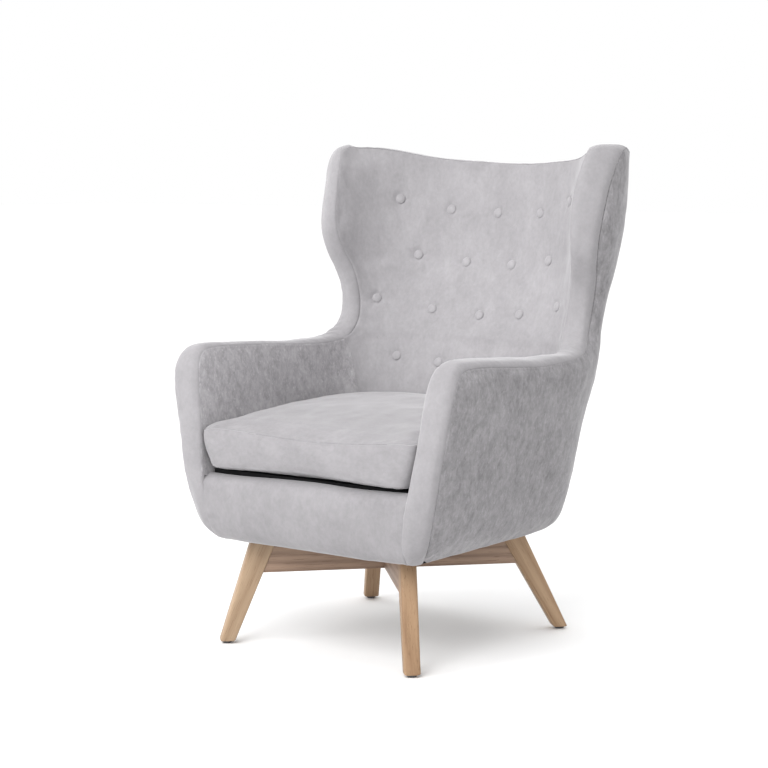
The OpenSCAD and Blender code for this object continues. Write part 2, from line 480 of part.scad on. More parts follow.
module dust_cover() {
    half = concat([[0, -264], [wo(221) - 27, -264]], [for (y = [-250, -225, -150, -75, 0]) [xo(y, 221) - 5, y]],
        [for (a = [6:6:90]) let (r = ro(a, 221) - 5) [r*cos(a), r*sin(a)]]);
    color([0.15, 0.15, 0.16]) place() difference() {
        translate([0, 0, dust_z]) linear_extrude(0.8) polygon(concat(half, [for (k = [len(half)-2:-1:1]) [-half[k][0], half[k][1]]]));
        at_bolt_holes();
    }
}
module at_bolt_holes() {
    for (s = [-1, 1], m = [-1, 1]) translate([m*bolt_r*cos(beam_a), s*bolt_r*sin(beam_a), dust_z - 1]) cylinder(r = bolt_d/2 + 1, h = 4);
}

// ---- buttons: rows of [half spacing, height] from the top down ----
BUTTONS = [[0,867],[118,873],[221,897],[60,760],[172,773],[0,649],[115,657],[229,676],[65,546],[175,554]];
function inorm(x, z) =
    let (e = 3, p = [x, yi(x, z), z], px = [x+e, yi(x+e, z), z], pz = [x, yi(x, z+e), z+e]) unit(cross(px - p, pz - p));
module at_button(x, z) {
    n = inorm(x, z);
    translate([x, yi(x, z), z] + 0.6*n) rotate([0, acos(n[2]), atan2(n[1], n[0])]) children();
}
module at_buttons() { for (b = BUTTONS) { at_button(b[0], b[1]) children(); if (b[0] > 0) at_button(-b[0], b[1]) children(); } }
module back_buttons() {
    color(fabric) place() at_buttons()
        rotate_extrude($fn = 32) polygon(concat([[0, 0], [button_r - 1, 0], [button_r, 1.2]], [for (a = [10:20:90]) [button_r * cos(a), 1.2 + (button_h - 1.2) * sin(a)]]));
}
module button_ties() {
    color([0.85, 0.85, 0.82]) place() at_buttons() translate([0, 0, -cover_t - back_pad_t - 12]) cylinder(r = 0.9, h = cover_t + back_pad_t + 12, $fn = 16);
}

// ---- loose cushion ----
cush_z0 = deck_z + 2.5;
cush_seam0 = 372; cush_seam1 = 447;
cush_y0 = -286;
cush_gap = 12;
cush_yc = -40;
// outline at level z and direction a, g inside the cover, i inside the seam:
// straight sides, rounded front corners, and a rear that follows the back.
// The top slopes up to the rear, so a level's own height z grows on the way back
function cush_radius(a, g, i, z) =
    let (zs = min(max(z, cush_seam0), cush_seam1), w = cush_hw - g - i - 8 * (cush_seam1 - zs) / 75,
         b = look(zs, B_IN) - cush_gap - g - i - cush_yc, f = cush_yc - cush_y0 - g - i - 3 * (cush_seam1 - zs) / 75,
         p = sin(a) > 0 ? 4.2 : 14, d = sin(a) > 0 ? b : f)
    1 / root(pow(abs(cos(a)) / w, p) + pow(abs(sin(a)) / d, p), p);
function cush_lift(y, z) = cush_rise * min(max((y - cush_y0) / 500, 0), 1) * min(max((z - cush_seam0) / 75, 0), 1);
function cush_ring(a, g, i, z) =
    let (y0 = cush_yc + cush_radius(a, g, i, z) * sin(a), z1 = z + cush_lift(y0, z), r = cush_radius(a, g, i, z1))
    [r*cos(a), cush_yc + r*sin(a), z1];
// levels [height, inset] from the underside to the crown
function cush_levels(g) = [[cush_z0 + g, 70], [cush_z0 + g, 34], [cush_z0 + 4 + g, 15], [cush_seam0, 1], [cush_seam0 + 3, 0], [410, -1], [cush_seam1 - 3, 0], [cush_seam1, 1], [cush_seam1 + 8 - g, 22], [cush_seam1 + 8 + cush_crown*0.55 - g, 70], [cush_seam1 + 8 + cush_crown - g, 140]];
module cush_solid(g, n) {
    lv = cush_levels(g); m = len(lv);
    pts = [for (l = lv) each [for (k = [0:n-1]) cush_ring(360 * (k + 0.5) / n, g, l[1], l[0])]];
    polyhedron(concat(pts, [[0, cush_yc, lv[0][0]], [0, cush_yc, lv[m-1][0] + 1 + cush_lift(cush_yc, 460)]]), concat(
        [for (k = [0:n-1]) [m*n, k, (k+1)%n]],
        [for (i = [0:m-2], k = [0:n-1]) each [[i*n+k, (i+1)*n+k, (i+1)*n+(k+1)%n], [i*n+k, (i+1)*n+(k+1)%n, i*n+(k+1)%n]]],
        [for (k = [0:n-1]) [m*n+1, (m-1)*n+(k+1)%n, (m-1)*n+k]]), convexity = 4);
}
module cushion_cover() { color(fabric) place() difference() { cush_solid(0, 48); cush_solid(cover_t, 48); } }
module cushion_core() { color(foam) place() cush_solid(cover_t + core_gap, 48); }
zip_w = 300; zip_z = 409;
// plane of the zip on the sloping rear face of the cushion
module on_rear() { place() translate([0, look(zip_z, B_IN) - cush_gap + 1, zip_z]) rotate([-14.5, 0, 0]) children(); }
module zip_tape() { color([0.5, 0.5, 0.5]) on_rear() translate([-zip_w/2, 1.2, -12]) cube([zip_w, 1, 24]); }
module zip_slider() {
    color(steel) on_rear() translate([-zip_w/2 + 6, 2.6, -5]) union() {
        cube([9, 2, 10]);
        translate([1.5, 1.4, 2.5]) cube([26, 1.2, 5]);
    }
}

leg_front_left();
leg_front_right();
leg_rear_left();
leg_rear_right();
cross_beam_lower();
cross_beam_upper();
leg_dowels();
floor_glides();
glide_nails();
base_bolts();
base_washers();
base_tee_nuts();
front_rail();
rear_rail();
side_rail_left();
side_rail_right();
corner_blocks();
base_cleats();
arm_post_left();
arm_post_right();
arm_board_left();
arm_board_right();
back_post_left();
back_post_right();
back_top_rail();
back_tack_rail();
wing_board_left();
wing_board_right();
wing_stays();
seat_springs();
spring_clips();
back_webbing();
deck_pad();
deck_cloth();
arm_pad_left();
arm_pad_right();
edge_pad_left();
edge_pad_right();
top_edge_pad();
back_pad();
front_pad();
outer_side_cover_left();
outer_side_cover_right();
outer_back_cover();
facing_band_left();
facing_band_right();
top_band();
inner_arm_cover_left();
inner_arm_cover_right();
inner_back_cover();
front_rail_cover();
dust_cover();
back_buttons();
button_ties();
cushion_cover();
cushion_core();
zip_tape();
zip_slider();
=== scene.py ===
import math

import bmesh
import bpy
import numpy as np
from mathutils import Matrix, Vector
from mathutils.kdtree import KDTree


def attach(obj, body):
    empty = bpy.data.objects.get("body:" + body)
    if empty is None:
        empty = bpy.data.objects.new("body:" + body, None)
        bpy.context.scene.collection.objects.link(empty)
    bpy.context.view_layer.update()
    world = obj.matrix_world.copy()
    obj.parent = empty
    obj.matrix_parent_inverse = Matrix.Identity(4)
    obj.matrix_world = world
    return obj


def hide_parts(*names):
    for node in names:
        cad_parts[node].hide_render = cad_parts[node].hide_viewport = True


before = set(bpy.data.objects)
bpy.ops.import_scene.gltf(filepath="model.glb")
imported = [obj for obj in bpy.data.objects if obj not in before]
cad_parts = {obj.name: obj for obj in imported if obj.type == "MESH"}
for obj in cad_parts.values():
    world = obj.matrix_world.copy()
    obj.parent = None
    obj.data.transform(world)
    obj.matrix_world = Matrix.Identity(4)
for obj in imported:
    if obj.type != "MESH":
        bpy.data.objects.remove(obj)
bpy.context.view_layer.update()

scene = bpy.context.scene
Y0 = -0.0803             # the shell is laid out from the crossing of the base, as in the CAD


# ---------------------------------------------------------------------------
# shape tables and functions of the shell, in metres, as in the CAD
# ---------------------------------------------------------------------------
def mm(rows):
    return np.array(rows, float) / 1000.0


W_OUT = mm([[215, 252], [250, 283], [290, 301], [350, 318], [450, 337.5], [560, 355.5], [660, 357], [760, 367], [860, 380], [950, 388], [1030, 392]])
B_OUT = mm([[215, 318], [250, 329], [400, 353], [600, 402], [800, 446], [1030, 470]])
P_O = np.array([[.22, 4.2], [.30, 3.8], [.45, 3.6], [.66, 3.8], [.8, 4.2], [1.03, 4.2]])
INSET = mm([[215, 2], [560, 3], [590, 8], [620, 15], [660, 16.5], [710, 16.5], [760, 15], [810, 13], [920, 13], [960, 9], [1000, 5], [1030, 5]])
W_IN = mm([[220, 230], [300, 245], [364, 256], [450, 267], [570, 283], [670, 304], [775, 310.5], [900, 317.5], [970, 330], [1030, 352]])
B_IN = mm([[220, 170], [450, 228], [550, 264], [670, 315], [775, 355], [900, 390], [970, 402], [1030, 404]])
P_I = np.array([[.22, 5], [.55, 4.6], [.62, 3.7], [.70, 3.16], [.775, 2.78], [.9, 2.52], [1.03, 2.58]])
YC = 0.070
OUT = mm([[-236, 222], [-257, 250], [-268, 285], [-276, 330], [-279, 400], [-279, 470], [-277, 528], [-266, 569], [-236, 592], [-163, 594], [-60, 586], [30, 580],
          [104, 582], [158, 584], [205, 591], [238, 607], [256, 640], [265, 685], [260, 730], [244, 770], [234, 812], [237, 857], [251, 908], [271, 962], [296, 995], [330, 1007]])
INN = mm([[-268, 222], [-288, 250], [-297, 285], [-299, 330], [-291, 395], [-281, 460], [-276, 518], [-268, 567], [-249, 595], [-207, 602], [-120, 599], [-26, 594],
          [70, 587], [150, 584], [205, 591], [231, 616], [246, 652], [250, 695], [242, 742], [222, 785], [208, 825], [204, 868], [212, 912], [222, 950], [235, 981], [246, 999], [265, 1008]])
ZT_O, ZT_I = 0.9655, 0.9745
REAR_SEAM = 0.86
EASE = 0.004             # how far the outer panels turn in to meet the band


def crown(t):
    """Height of the band's padding along its path: 0..1 up the arm and wing, 1..2 over the top."""
    return np.interp(t, [0, .05, .22, .29, .36, .46, .56, .66, .76, .86, .96, 1.0, 1.08, 2.0],
                     [.0080, .0110, .0118, .0112, .0095, .0092, .0105, .0132, .0140, .0112, .0098, .0076, .0024, .0016])


def look(t, tab):
    x, y = tab[:, 0], tab[:, 1]
    n = len(x)
    k = np.arange(n)
    lo, hi = np.maximum(k - 1, 0), np.minimum(k + 1, n - 1)
    m = (y[hi] - y[lo]) / (x[hi] - x[lo])
    t = np.clip(np.asarray(t, float), x[0], x[-1])
    i = np.clip(np.searchsorted(x, t, side="right") - 1, 0, n - 2)
    h = x[i + 1] - x[i]
    s = (t - x[i]) / h
    return ((2*s**3 - 3*s**2 + 1) * y[i] + (s**3 - 2*s**2 + s) * h * m[i]
            + (3*s**2 - 2*s**3) * y[i + 1] + (s**3 - s**2) * h * m[i + 1])


def crv(t, pts):
    n = len(pts) - 1
    x = np.clip(np.asarray(t, float), 0, 1) * n
    i = np.minimum(np.floor(x).astype(int), n - 1)
    s = (x - i)[..., None]
    a, b, c, d = pts[np.maximum(i - 1, 0)], pts[i], pts[i + 1], pts[np.minimum(i + 2, n)]
    return 0.5 * (2*b + (c - a)*s + (2*a - 5*b + 4*c - d)*s*s + (3*b - a - 3*c + d)*s**3)


def root(q, p):
    return np.maximum(q, 0) ** (1.0 / p)


def mix(a, b, s):
    return a + (b - a) * s


def unit(v):
    return v / np.maximum(np.linalg.norm(v, axis=-1, keepdims=True), 1e-12)


def smooth(x):
    x = np.clip(x, 0, 1)
    return x * x * (3 - 2 * x)


def xo(y, z):
    w, b, q = look(z, W_OUT), look(z, B_OUT), look(z, P_O)
    rear = w * root(1 - (np.clip(y, 0, None) / b) ** q, q)
    return np.where(y <= 0, w - 0.003 * (y / 0.285) ** 2, rear)


def xi(y, z):
    w, b, p = look(z, W_IN), look(z, B_IN) - YC, look(z, P_I)
    return w * root(1 - (np.clip(y - YC, 0, None) / b) ** p, p)


def yi(x, z):
    w, b, p = look(z, W_IN), look(z, B_IN) - YC, look(z, P_I)
    return YC + b * root(1 - (np.abs(x) / w) ** p, p)


def ro(a, z):
    w, b, p = look(z, W_OUT), look(z, B_OUT), look(z, P_O)
    return 1 / ((np.abs(np.cos(a)) / w) ** p + (np.sin(a) / b) ** p) ** (1 / p)


def ri(a, z):
    w, b, p = look(z, W_IN), look(z, B_IN) - YC, look(z, P_I)
    return 1 / ((np.abs(np.cos(a)) / w) ** p + (np.abs(np.sin(a)) / b) ** p) ** (1 / p)


def stack(x, y, z):
    x, y, z = np.broadcast_arrays(x, y, z)
    return np.stack([x, y, z], -1).astype(float)


def o_side(t):
    p = crv(t, OUT)
    y, z = p[..., 0], p[..., 1]
    return stack(xo(y, z) - look(z, INSET) - EASE, y, z)


def i_side(t):
    p = crv(t, INN)
    y, z = p[..., 0], p[..., 1]
    return stack(xi(y, z), y, z)


O_END, I_END = o_side(np.array(1.0)), i_side(np.array(1.0))
AO = math.atan2(O_END[1], O_END[0])
AI = math.atan2(I_END[1] - YC, I_END[0])
HALF = math.pi / 2


def zto(a):
    s = np.clip((a - AO) / (HALF - AO), 0, 1)
    return ZT_O + (O_END[2] - ZT_O) * (1 - s) ** 2


def o_top(s):
    a = AO + (HALF - AO) * s
    z = zto(a)
    r = ro(a, z) - 0.004
    return stack(r * np.cos(a), r * np.sin(a), z)


def i_top(s):
    a = AI + (HALF - AI) * s
    z = ZT_I + (I_END[2] - ZT_I) * (1 - s) ** 2
    r = ri(a, z)
    return stack(r * np.cos(a), YC + r * np.sin(a), z)


UPPER = crv(np.linspace(14.0 / 26, 1, 300), INN)
UPPER = UPPER[np.concatenate([[True], np.diff(np.maximum.accumulate(UPPER[:, 1])) > 1e-6])]


def y_edge(z):
    low = np.interp(z, [.36, .45, .53, .565, .592], [.200, .206, .2125, .2125, .2035])
    return np.where(z < .592, low, np.interp(z, UPPER[:, 1], UPPER[:, 0]))


def iback_end(z):
    return np.minimum(y_edge(z) + .0015, YC + (look(z, B_IN) - YC) * .9)


# ---------------------------------------------------------------------------
# mesh helpers
# ---------------------------------------------------------------------------
def waves(p, length, seed, n=28, aniso=(1, 1, 1)):
    """Smooth random field of about unit size over points p, with the given wavelength."""
    r = np.random.RandomState(seed)
    d = unit(r.normal(size=(n, 3))) * (2 * math.pi / length) * r.uniform(.6, 1.5, (n, 1)) * np.array(aniso)
    f = r.uniform(0, 2 * math.pi, n)
    out = np.zeros(p.shape[:-1])
    for k in range(n):
        out += np.sin(p @ d[k] + f[k])
    return out / math.sqrt(n / 2.0)


def spaced(length, edge=.002, mid=.006, reach=.03, ends=(True, True)):
    """Positions 0..1 along a length, closer together near its ends."""
    x = np.linspace(0, length, 4001)
    d = np.full_like(x, 1e9)
    if ends[0]:
        d = np.minimum(d, x)
    if ends[1]:
        d = np.minimum(d, length - x)
    step = edge + (mid - edge) * np.clip(d / reach, 0, 1)
    c = np.concatenate([[0], np.cumsum(.5 * (1 / step[1:] + 1 / step[:-1]) * np.diff(x))])
    n = max(4, int(math.ceil(c[-1])))
    return np.interp(np.linspace(0, c[-1], n + 1), c, x) / length


def grid_normals(p):
    return unit(np.cross(np.gradient(p, axis=0), np.gradient(p, axis=1)))


def cumlen(p, axis):
    d = np.linalg.norm(np.diff(p, axis=axis), axis=-1)
    z = np.zeros_like(np.take(d, [0], axis=axis))
    return np.concatenate([z, np.cumsum(d, axis=axis)], axis=axis)


def edge_dist(p):
    """Distances along the grid to the borders u0, u1, v0 and v1."""
    lu, lv = cumlen(p, 0), cumlen(p, 1)
    return lu, lu[-1:, :] - lu, lv, lv[:, -1:] - lv


def roll(d, depth=.0045, reach=.012, k=2.3):
    return -depth * np.clip(1 - d / reach, 0, 1) ** k


def new_object(name, verts, faces, mats, face_mat=None, sharp=50):
    me = bpy.data.meshes.new(name)
    me.from_pydata([tuple(v) for v in np.asarray(verts, float)], [], [tuple(int(i) for i in f) for f in faces])
    me.validate()
    for m in (mats if isinstance(mats, (list, tuple)) else [mats]):
        me.materials.append(m)
    if face_mat is not None:
        me.polygons.foreach_set("material_index", np.asarray(face_mat, dtype=np.int32))
    me.polygons.foreach_set("use_smooth", np.ones(len(me.polygons), dtype=bool))
    ob = bpy.data.objects.new(name, me)
    scene.collection.objects.link(ob)
    bm = bmesh.new()
    bm.from_mesh(me)
    bmesh.ops.recalc_face_normals(bm, faces=bm.faces)
    if bm.calc_volume(signed=True) < 0:
        bmesh.ops.reverse_faces(bm, faces=bm.faces)
    bm.to_mesh(me)
    bm.free()
    if sharp:
        me.set_sharp_from_angle(angle=math.radians(sharp))
    me.update()
    return ob


def slab_faces(nu, nv, base=0):
    """Faces of a closed slab between two (nu x nv) grids stored one after the other."""
    def idx(i, j, k):
        return base + k * nu * nv + i * nv + j
    f = []
    for i in range(nu - 1):
        for j in range(nv - 1):
            f.append((idx(i, j, 0), idx(i + 1, j, 0), idx(i + 1, j + 1, 0), idx(i, j + 1, 0)))
            f.append((idx(i, j, 1), idx(i, j + 1, 1), idx(i + 1, j + 1, 1), idx(i + 1, j, 1)))
    for i in range(nu - 1):
        f.append((idx(i, 0, 0), idx(i, 0, 1), idx(i + 1, 0, 1), idx(i + 1, 0, 0)))
        f.append((idx(i, nv - 1, 0), idx(i + 1, nv - 1, 0), idx(i + 1, nv - 1, 1), idx(i, nv - 1, 1)))
    for j in range(nv - 1):
        f.append((idx(0, j, 0), idx(0, j + 1, 0), idx(0, j + 1, 1), idx(0, j, 1)))
        f.append((idx(nu - 1, j, 0), idx(nu - 1, j, 1), idx(nu - 1, j + 1, 1), idx(nu - 1, j + 1, 0)))
    return f


def slab(name, p, n, disp, thick, mat, thin=None):
    """Closed padded panel: outer face p + n*disp, inner face p - n*thick. n points out."""
    q = p + n * disp[..., None]
    r = p - n * (thick if np.isscalar(thick) else thick[..., None])
    off = np.array([0, Y0, 0])
    v = np.concatenate([(q + off).reshape(-1, 3), (r + off).reshape(-1, 3)])
    return new_object(name, v, slab_faces(*p.shape[:2]), mat)


def mirrored(ob, name):
    me = ob.data.copy()
    me.name = name
    co = np.empty(len(me.vertices) * 3)
    me.vertices.foreach_get("co", co)
    co = co.reshape(-1, 3)
    co[:, 0] *= -1
    me.vertices.foreach_set("co", co.ravel())
    me.flip_normals()
    new = bpy.data.objects.new(name, me)
    scene.collection.objects.link(new)
    return new


# ---------------------------------------------------------------------------
# materials
# ---------------------------------------------------------------------------
class Nodes:
    def __init__(self, name):
        self.mat = bpy.data.materials.new(name)
        self.mat.use_nodes = True
        self.t = self.mat.node_tree
        self.t.nodes.clear()
        self.out = self.t.nodes.new("ShaderNodeOutputMaterial")
        self.bsdf = self.t.nodes.new("ShaderNodeBsdfPrincipled")
        self.t.links.new(self.bsdf.outputs[0], self.out.inputs[0])

    def link(self, a, b):
        self.t.links.new(a, b)

    def coords(self, scale, attr=None, rot=(0, 0, 0)):
        if attr:
            tc = self.t.nodes.new("ShaderNodeAttribute")
            tc.attribute_name = attr
            src = tc.outputs["Vector"]
        else:
            tc = self.t.nodes.new("ShaderNodeTexCoord")
            src = tc.outputs["Object"]
        mp = self.t.nodes.new("ShaderNodeMapping")
        mp.inputs["Scale"].default_value = scale
        mp.inputs["Rotation"].default_value = rot
        self.link(src, mp.inputs["Vector"])
        return mp.outputs[0]

    def noise(self, vec, scale, detail=3, rough=.55, dist=0.0):
        n = self.t.nodes.new("ShaderNodeTexNoise")
        n.inputs["Scale"].default_value = scale
        n.inputs["Detail"].default_value = detail
        n.inputs["Roughness"].default_value = rough
        n.inputs["Distortion"].default_value = dist
        self.link(vec, n.inputs["Vector"])
        return n.outputs["Fac"]

    def math(self, op, a, b=None, c=None, clamp=False):
        n = self.t.nodes.new("ShaderNodeMath")
        n.operation = op
        n.use_clamp = clamp
        for i, x in enumerate((a, b, c)):
            if x is None:
                continue
            if isinstance(x, (int, float)):
                n.inputs[i].default_value = x
            else:
                self.link(x, n.inputs[i])
        return n.outputs[0]

    def ramp(self, fac, stops):
        n = self.t.nodes.new("ShaderNodeValToRGB")
        e = n.color_ramp.elements
        while len(e) < len(stops):
            e.new(0.5)
        for el, (pos, col) in zip(e, stops):
            el.position = pos
            el.color = (*col, 1)
        self.link(fac, n.inputs[0])
        return n.outputs[0]

    def bump(self, height, strength, distance):
        n = self.t.nodes.new("ShaderNodeBump")
        n.inputs["Strength"].default_value = strength
        n.inputs["Distance"].default_value = distance
        self.link(height, n.inputs["Height"])
        self.link(n.outputs[0], self.bsdf.inputs["Normal"])

    def set(self, **kw):
        for k, v in kw.items():
            self.bsdf.inputs[k.replace("_", " ")].default_value = v


def scale_col(c, k):
    return tuple(min(1.0, x * k) for x in c)


COVER = (0.258, 0.250, 0.259)


def fabric(name, base=COVER, patch=.5, blotch=.35, streak=.3, fleck=.0, stretch=(1, 1, .5), sizes=(9, 30, 120), rot=(0, 0, 0)):
    """Brushed microfibre: soft patches where the nap lies over, short nap streaks, fine fibre."""
    m = Nodes(name)
    obj = m.coords((1, 1, 1))
    st = m.coords(stretch, rot=rot)
    n1 = m.noise(obj, sizes[0], 2, .5, .3)
    n2 = m.noise(st, sizes[1], 3, .55, .4)
    n3 = m.noise(st, sizes[2], 3, .65, .3)
    n4 = m.noise(obj, 1500, 2, .6)
    f = m.math("MULTIPLY_ADD", m.math("SUBTRACT", n1, .5), patch, .5)
    f = m.math("MULTIPLY_ADD", m.math("SUBTRACT", n2, .5), blotch, f)
    f = m.math("MULTIPLY_ADD", m.math("SUBTRACT", n3, .5), streak, f)
    f = m.math("MULTIPLY_ADD", m.math("SUBTRACT", n4, .5), .16, f)
    if fleck:
        n5 = m.noise(m.coords((1, 1, .6)), 330, 1, .5)
        f = m.math("MULTIPLY_ADD", m.math("MAXIMUM", m.math("SUBTRACT", n5, .62), 0.0), fleck, f)
    m.link(m.ramp(f, [(0.0, scale_col(base, .55)), (0.5, base), (1.0, scale_col(base, 1.45))]), m.bsdf.inputs["Base Color"])
    h = m.math("MULTIPLY_ADD", n3, .6, m.math("MULTIPLY", n4, .5))
    m.bump(h, .30, .0006)
    m.link(m.math("MULTIPLY_ADD", n3, .16, .78), m.bsdf.inputs["Roughness"])
    m.set(Sheen_Weight=.45, Sheen_Roughness=.36, Specular_IOR_Level=.15)
    m.bsdf.inputs["Sheen Tint"].default_value = (.95, .94, .96, 1)
    return m.mat


def wood(name, light, dark, pore=.5, ring=26.0):
    """Washed oak: long grain along the local x of the grain attribute."""
    m = Nodes(name)
    g = m.coords((1, 1, 1), "grain")
    gl = m.coords((3.2, 46, 46), "grain")
    gf = m.coords((9, 330, 330), "grain")
    gp = m.coords((26, 620, 620), "grain")
    wob = m.noise(m.coords((2.0, 9, 9), "grain"), 1.0, 3, .5)
    lines = m.noise(gl, 1.0, 5, .62, .5)
    fib = m.noise(gf, 1.0, 3, .6)
    por = m.noise(gp, 1.0, 2, .5)
    sep = m.t.nodes.new("ShaderNodeSeparateXYZ")
    m.link(g, sep.inputs[0])
    r = m.math("ADD", m.math("MULTIPLY", sep.outputs[1], ring * 9), m.math("MULTIPLY", wob, 7.0))
    band = m.math("MULTIPLY_ADD", m.math("SINE", m.math("ADD", r, m.math("MULTIPLY", sep.outputs[2], ring * 5))), .5, .5)
    f = m.math("MULTIPLY_ADD", band, .22, m.math("MULTIPLY", lines, .62))
    f = m.math("MULTIPLY_ADD", fib, .30, f)
    pores = m.math("SUBTRACT", 1.0, m.math("GREATER_THAN", por, .64))
    col = m.ramp(f, [(.30, dark), (.52, mixc(dark, light, .55)), (.78, light)])
    mixn = m.t.nodes.new("ShaderNodeMix")
    mixn.data_type = "RGBA"
    mixn.blend_type = "MULTIPLY"
    m.link(m.math("MULTIPLY", m.math("SUBTRACT", 1.0, pores), pore), mixn.inputs["Factor"])
    m.link(col, mixn.inputs["A"])
    mixn.inputs["B"].default_value = (.45, .36, .28, 1)
    m.link(mixn.outputs["Result"], m.bsdf.inputs["Base Color"])
    h = m.math("MULTIPLY_ADD", pores, .6, m.math("MULTIPLY", fib, .4))
    m.bump(h, .25, .0004)
    m.link(m.math("MULTIPLY_ADD", lines, .2, .42), m.bsdf.inputs["Roughness"])
    m.set(Specular_IOR_Level=.35)
    return m.mat


def mixc(a, b, s):
    return tuple(x + (y - x) * s for x, y in zip(a, b))


def plain(name, a, b, scale, rough=.6, metallic=0.0, bump=.2, dist=.0004, stretch=(1, 1, 1), detail=3):
    """Two-tone procedural finish for the hidden and small parts."""
    m = Nodes(name)
    v = m.coords(stretch)
    n = m.noise(v, scale, detail, .6)
    n2 = m.noise(v, scale * 7, 2, .6)
    f = m.math("MULTIPLY_ADD", n2, .4, m.math("MULTIPLY", n, .6))
    m.link(m.ramp(f, [(.3, a), (.7, b)]), m.bsdf.inputs["Base Color"])
    m.link(m.math("MULTIPLY_ADD", n2, .2, rough - .1), m.bsdf.inputs["Roughness"])
    m.bump(f, bump, dist)
    m.set(Metallic=metallic)
    return m.mat


def woven(name, a, b, pitch=.0012, rough=.9):
    """Plain weave from two crossed wave fields in object space."""
    m = Nodes(name)
    v = m.coords((1 / pitch, 1 / pitch, 1 / pitch))
    sep = m.t.nodes.new("ShaderNodeSeparateXYZ")
    m.link(v, sep.inputs[0])
    sx = m.math("SINE", m.math("MULTIPLY", m.math("ADD", sep.outputs[0], m.math("MULTIPLY", sep.outputs[2], .71)), math.pi))
    sy = m.math("SINE", m.math("MULTIPLY", m.math("ADD", sep.outputs[1], m.math("MULTIPLY", sep.outputs[2], .71)), math.pi))
    w = m.math("MULTIPLY_ADD", m.math("MULTIPLY", sx, sy), .5, .5)
    n = m.noise(m.coords((1, 1, 1)), 60, 3)
    f = m.math("MULTIPLY_ADD", n, .35, m.math("MULTIPLY", w, .65))
    m.link(m.ramp(f, [(.2, a), (.8, b)]), m.bsdf.inputs["Base Color"])
    m.link(m.math("MULTIPLY_ADD", n, .1, rough - .05), m.bsdf.inputs["Roughness"])
    m.bump(w, .5, .0003)
    m.set(Specular_IOR_Level=.15)
    return m.mat


# one cover fabric throughout; the panels differ in their patch and streak texture, and each panel's base colour is
# scaled lighter or darker as painted light and shade: the outer side and outer back panels darker (painted shade), the
# inner arms, buttons and inner back lighter (painted light), the rail and cushion a little darker (painted shade)
M_SOFT = fabric("cover_back", base=scale_col(COVER, 1.03), patch=.30, blotch=.30, streak=.36, stretch=(1, 1, .7), sizes=(9, 32, 130))
M_RAIL = fabric("cover_rail", base=scale_col(COVER, .92), patch=.26, blotch=.28, streak=.36, stretch=(1, 1, .7), sizes=(9, 32, 130))
M_BAND = fabric("cover_band", base=scale_col(COVER, 1.0), patch=.22, blotch=.22, streak=.26, stretch=(1, 1, .8), sizes=(12, 40, 150))
M_SHADED_OUTER = fabric("cover_side_shaded", base=scale_col(COVER, .83), patch=.30, blotch=.95, streak=.90, fleck=2.6, stretch=(1, 1, .62), sizes=(12, 62, 165), rot=(.16, 0, 0))
M_LIT_INNER_ARM = fabric("cover_arm_lit", base=scale_col(COVER, 1.23), patch=.22, blotch=.80, streak=.72, fleck=2.4, stretch=(1, 1, .66), sizes=(12, 62, 165), rot=(.16, 0, 0))
M_CUSH = fabric("cover_cushion", base=scale_col(COVER, .94), patch=.28, blotch=.30, streak=.34, stretch=(.8, 1, 1), sizes=(11, 36, 130))
M_BTN = fabric("cover_button", base=scale_col(COVER, 1.10), patch=.1, blotch=.2, streak=.3, stretch=(1, 1, 1))
M_TWINE = plain("twine", (.55, .52, .44), (.75, .72, .64), 900, rough=.9)
# each leg takes its own tint of the oak colours: the front-left leg darker and warmer, the front-right leg lighter and
# cooler, the rear-left leg lighter
OAK = {k: wood("oak_" + k, tuple(c * t for c, t in zip((.365, .246, .152), tn)), tuple(c * t for c, t in zip((.215, .126, .068), tn)))
       for k, tn in (("leg_front_left", (.93, .89, .84)), ("leg_front_right", (1.05, 1.12, 1.19)), ("leg_rear_left", (1.11, 1.13, 1.14)), ("leg_rear_right", (1.0, 1.0, 1.0)))}
M_BEAM = wood("oak_beam", (.350, .240, .171), (.165, .102, .070), ring=40)
# the deck cloth is a real sheet, but its near-black weave colour is painted shade for the dark gap under the cushion's
# front edge
M_DECK_SHADE = woven("deck_weave_shade", (.006, .006, .007), (.016, .016, .017))
M_DUST = plain("dust_cloth", (.010, .010, .011), (.030, .030, .032), 420, rough=.95, bump=.4)


# ---------------------------------------------------------------------------
# outer side panels
# ---------------------------------------------------------------------------
def tuck(e, depth=.0011, reach=.0050):
    """The fabric dips into the seam it is sewn into."""
    return roll(e, depth, reach, 2.0)


def stitch(e, at=.0065, depth=.00030, width=.0011):
    return -depth * np.exp(-((e - at) / width) ** 2)


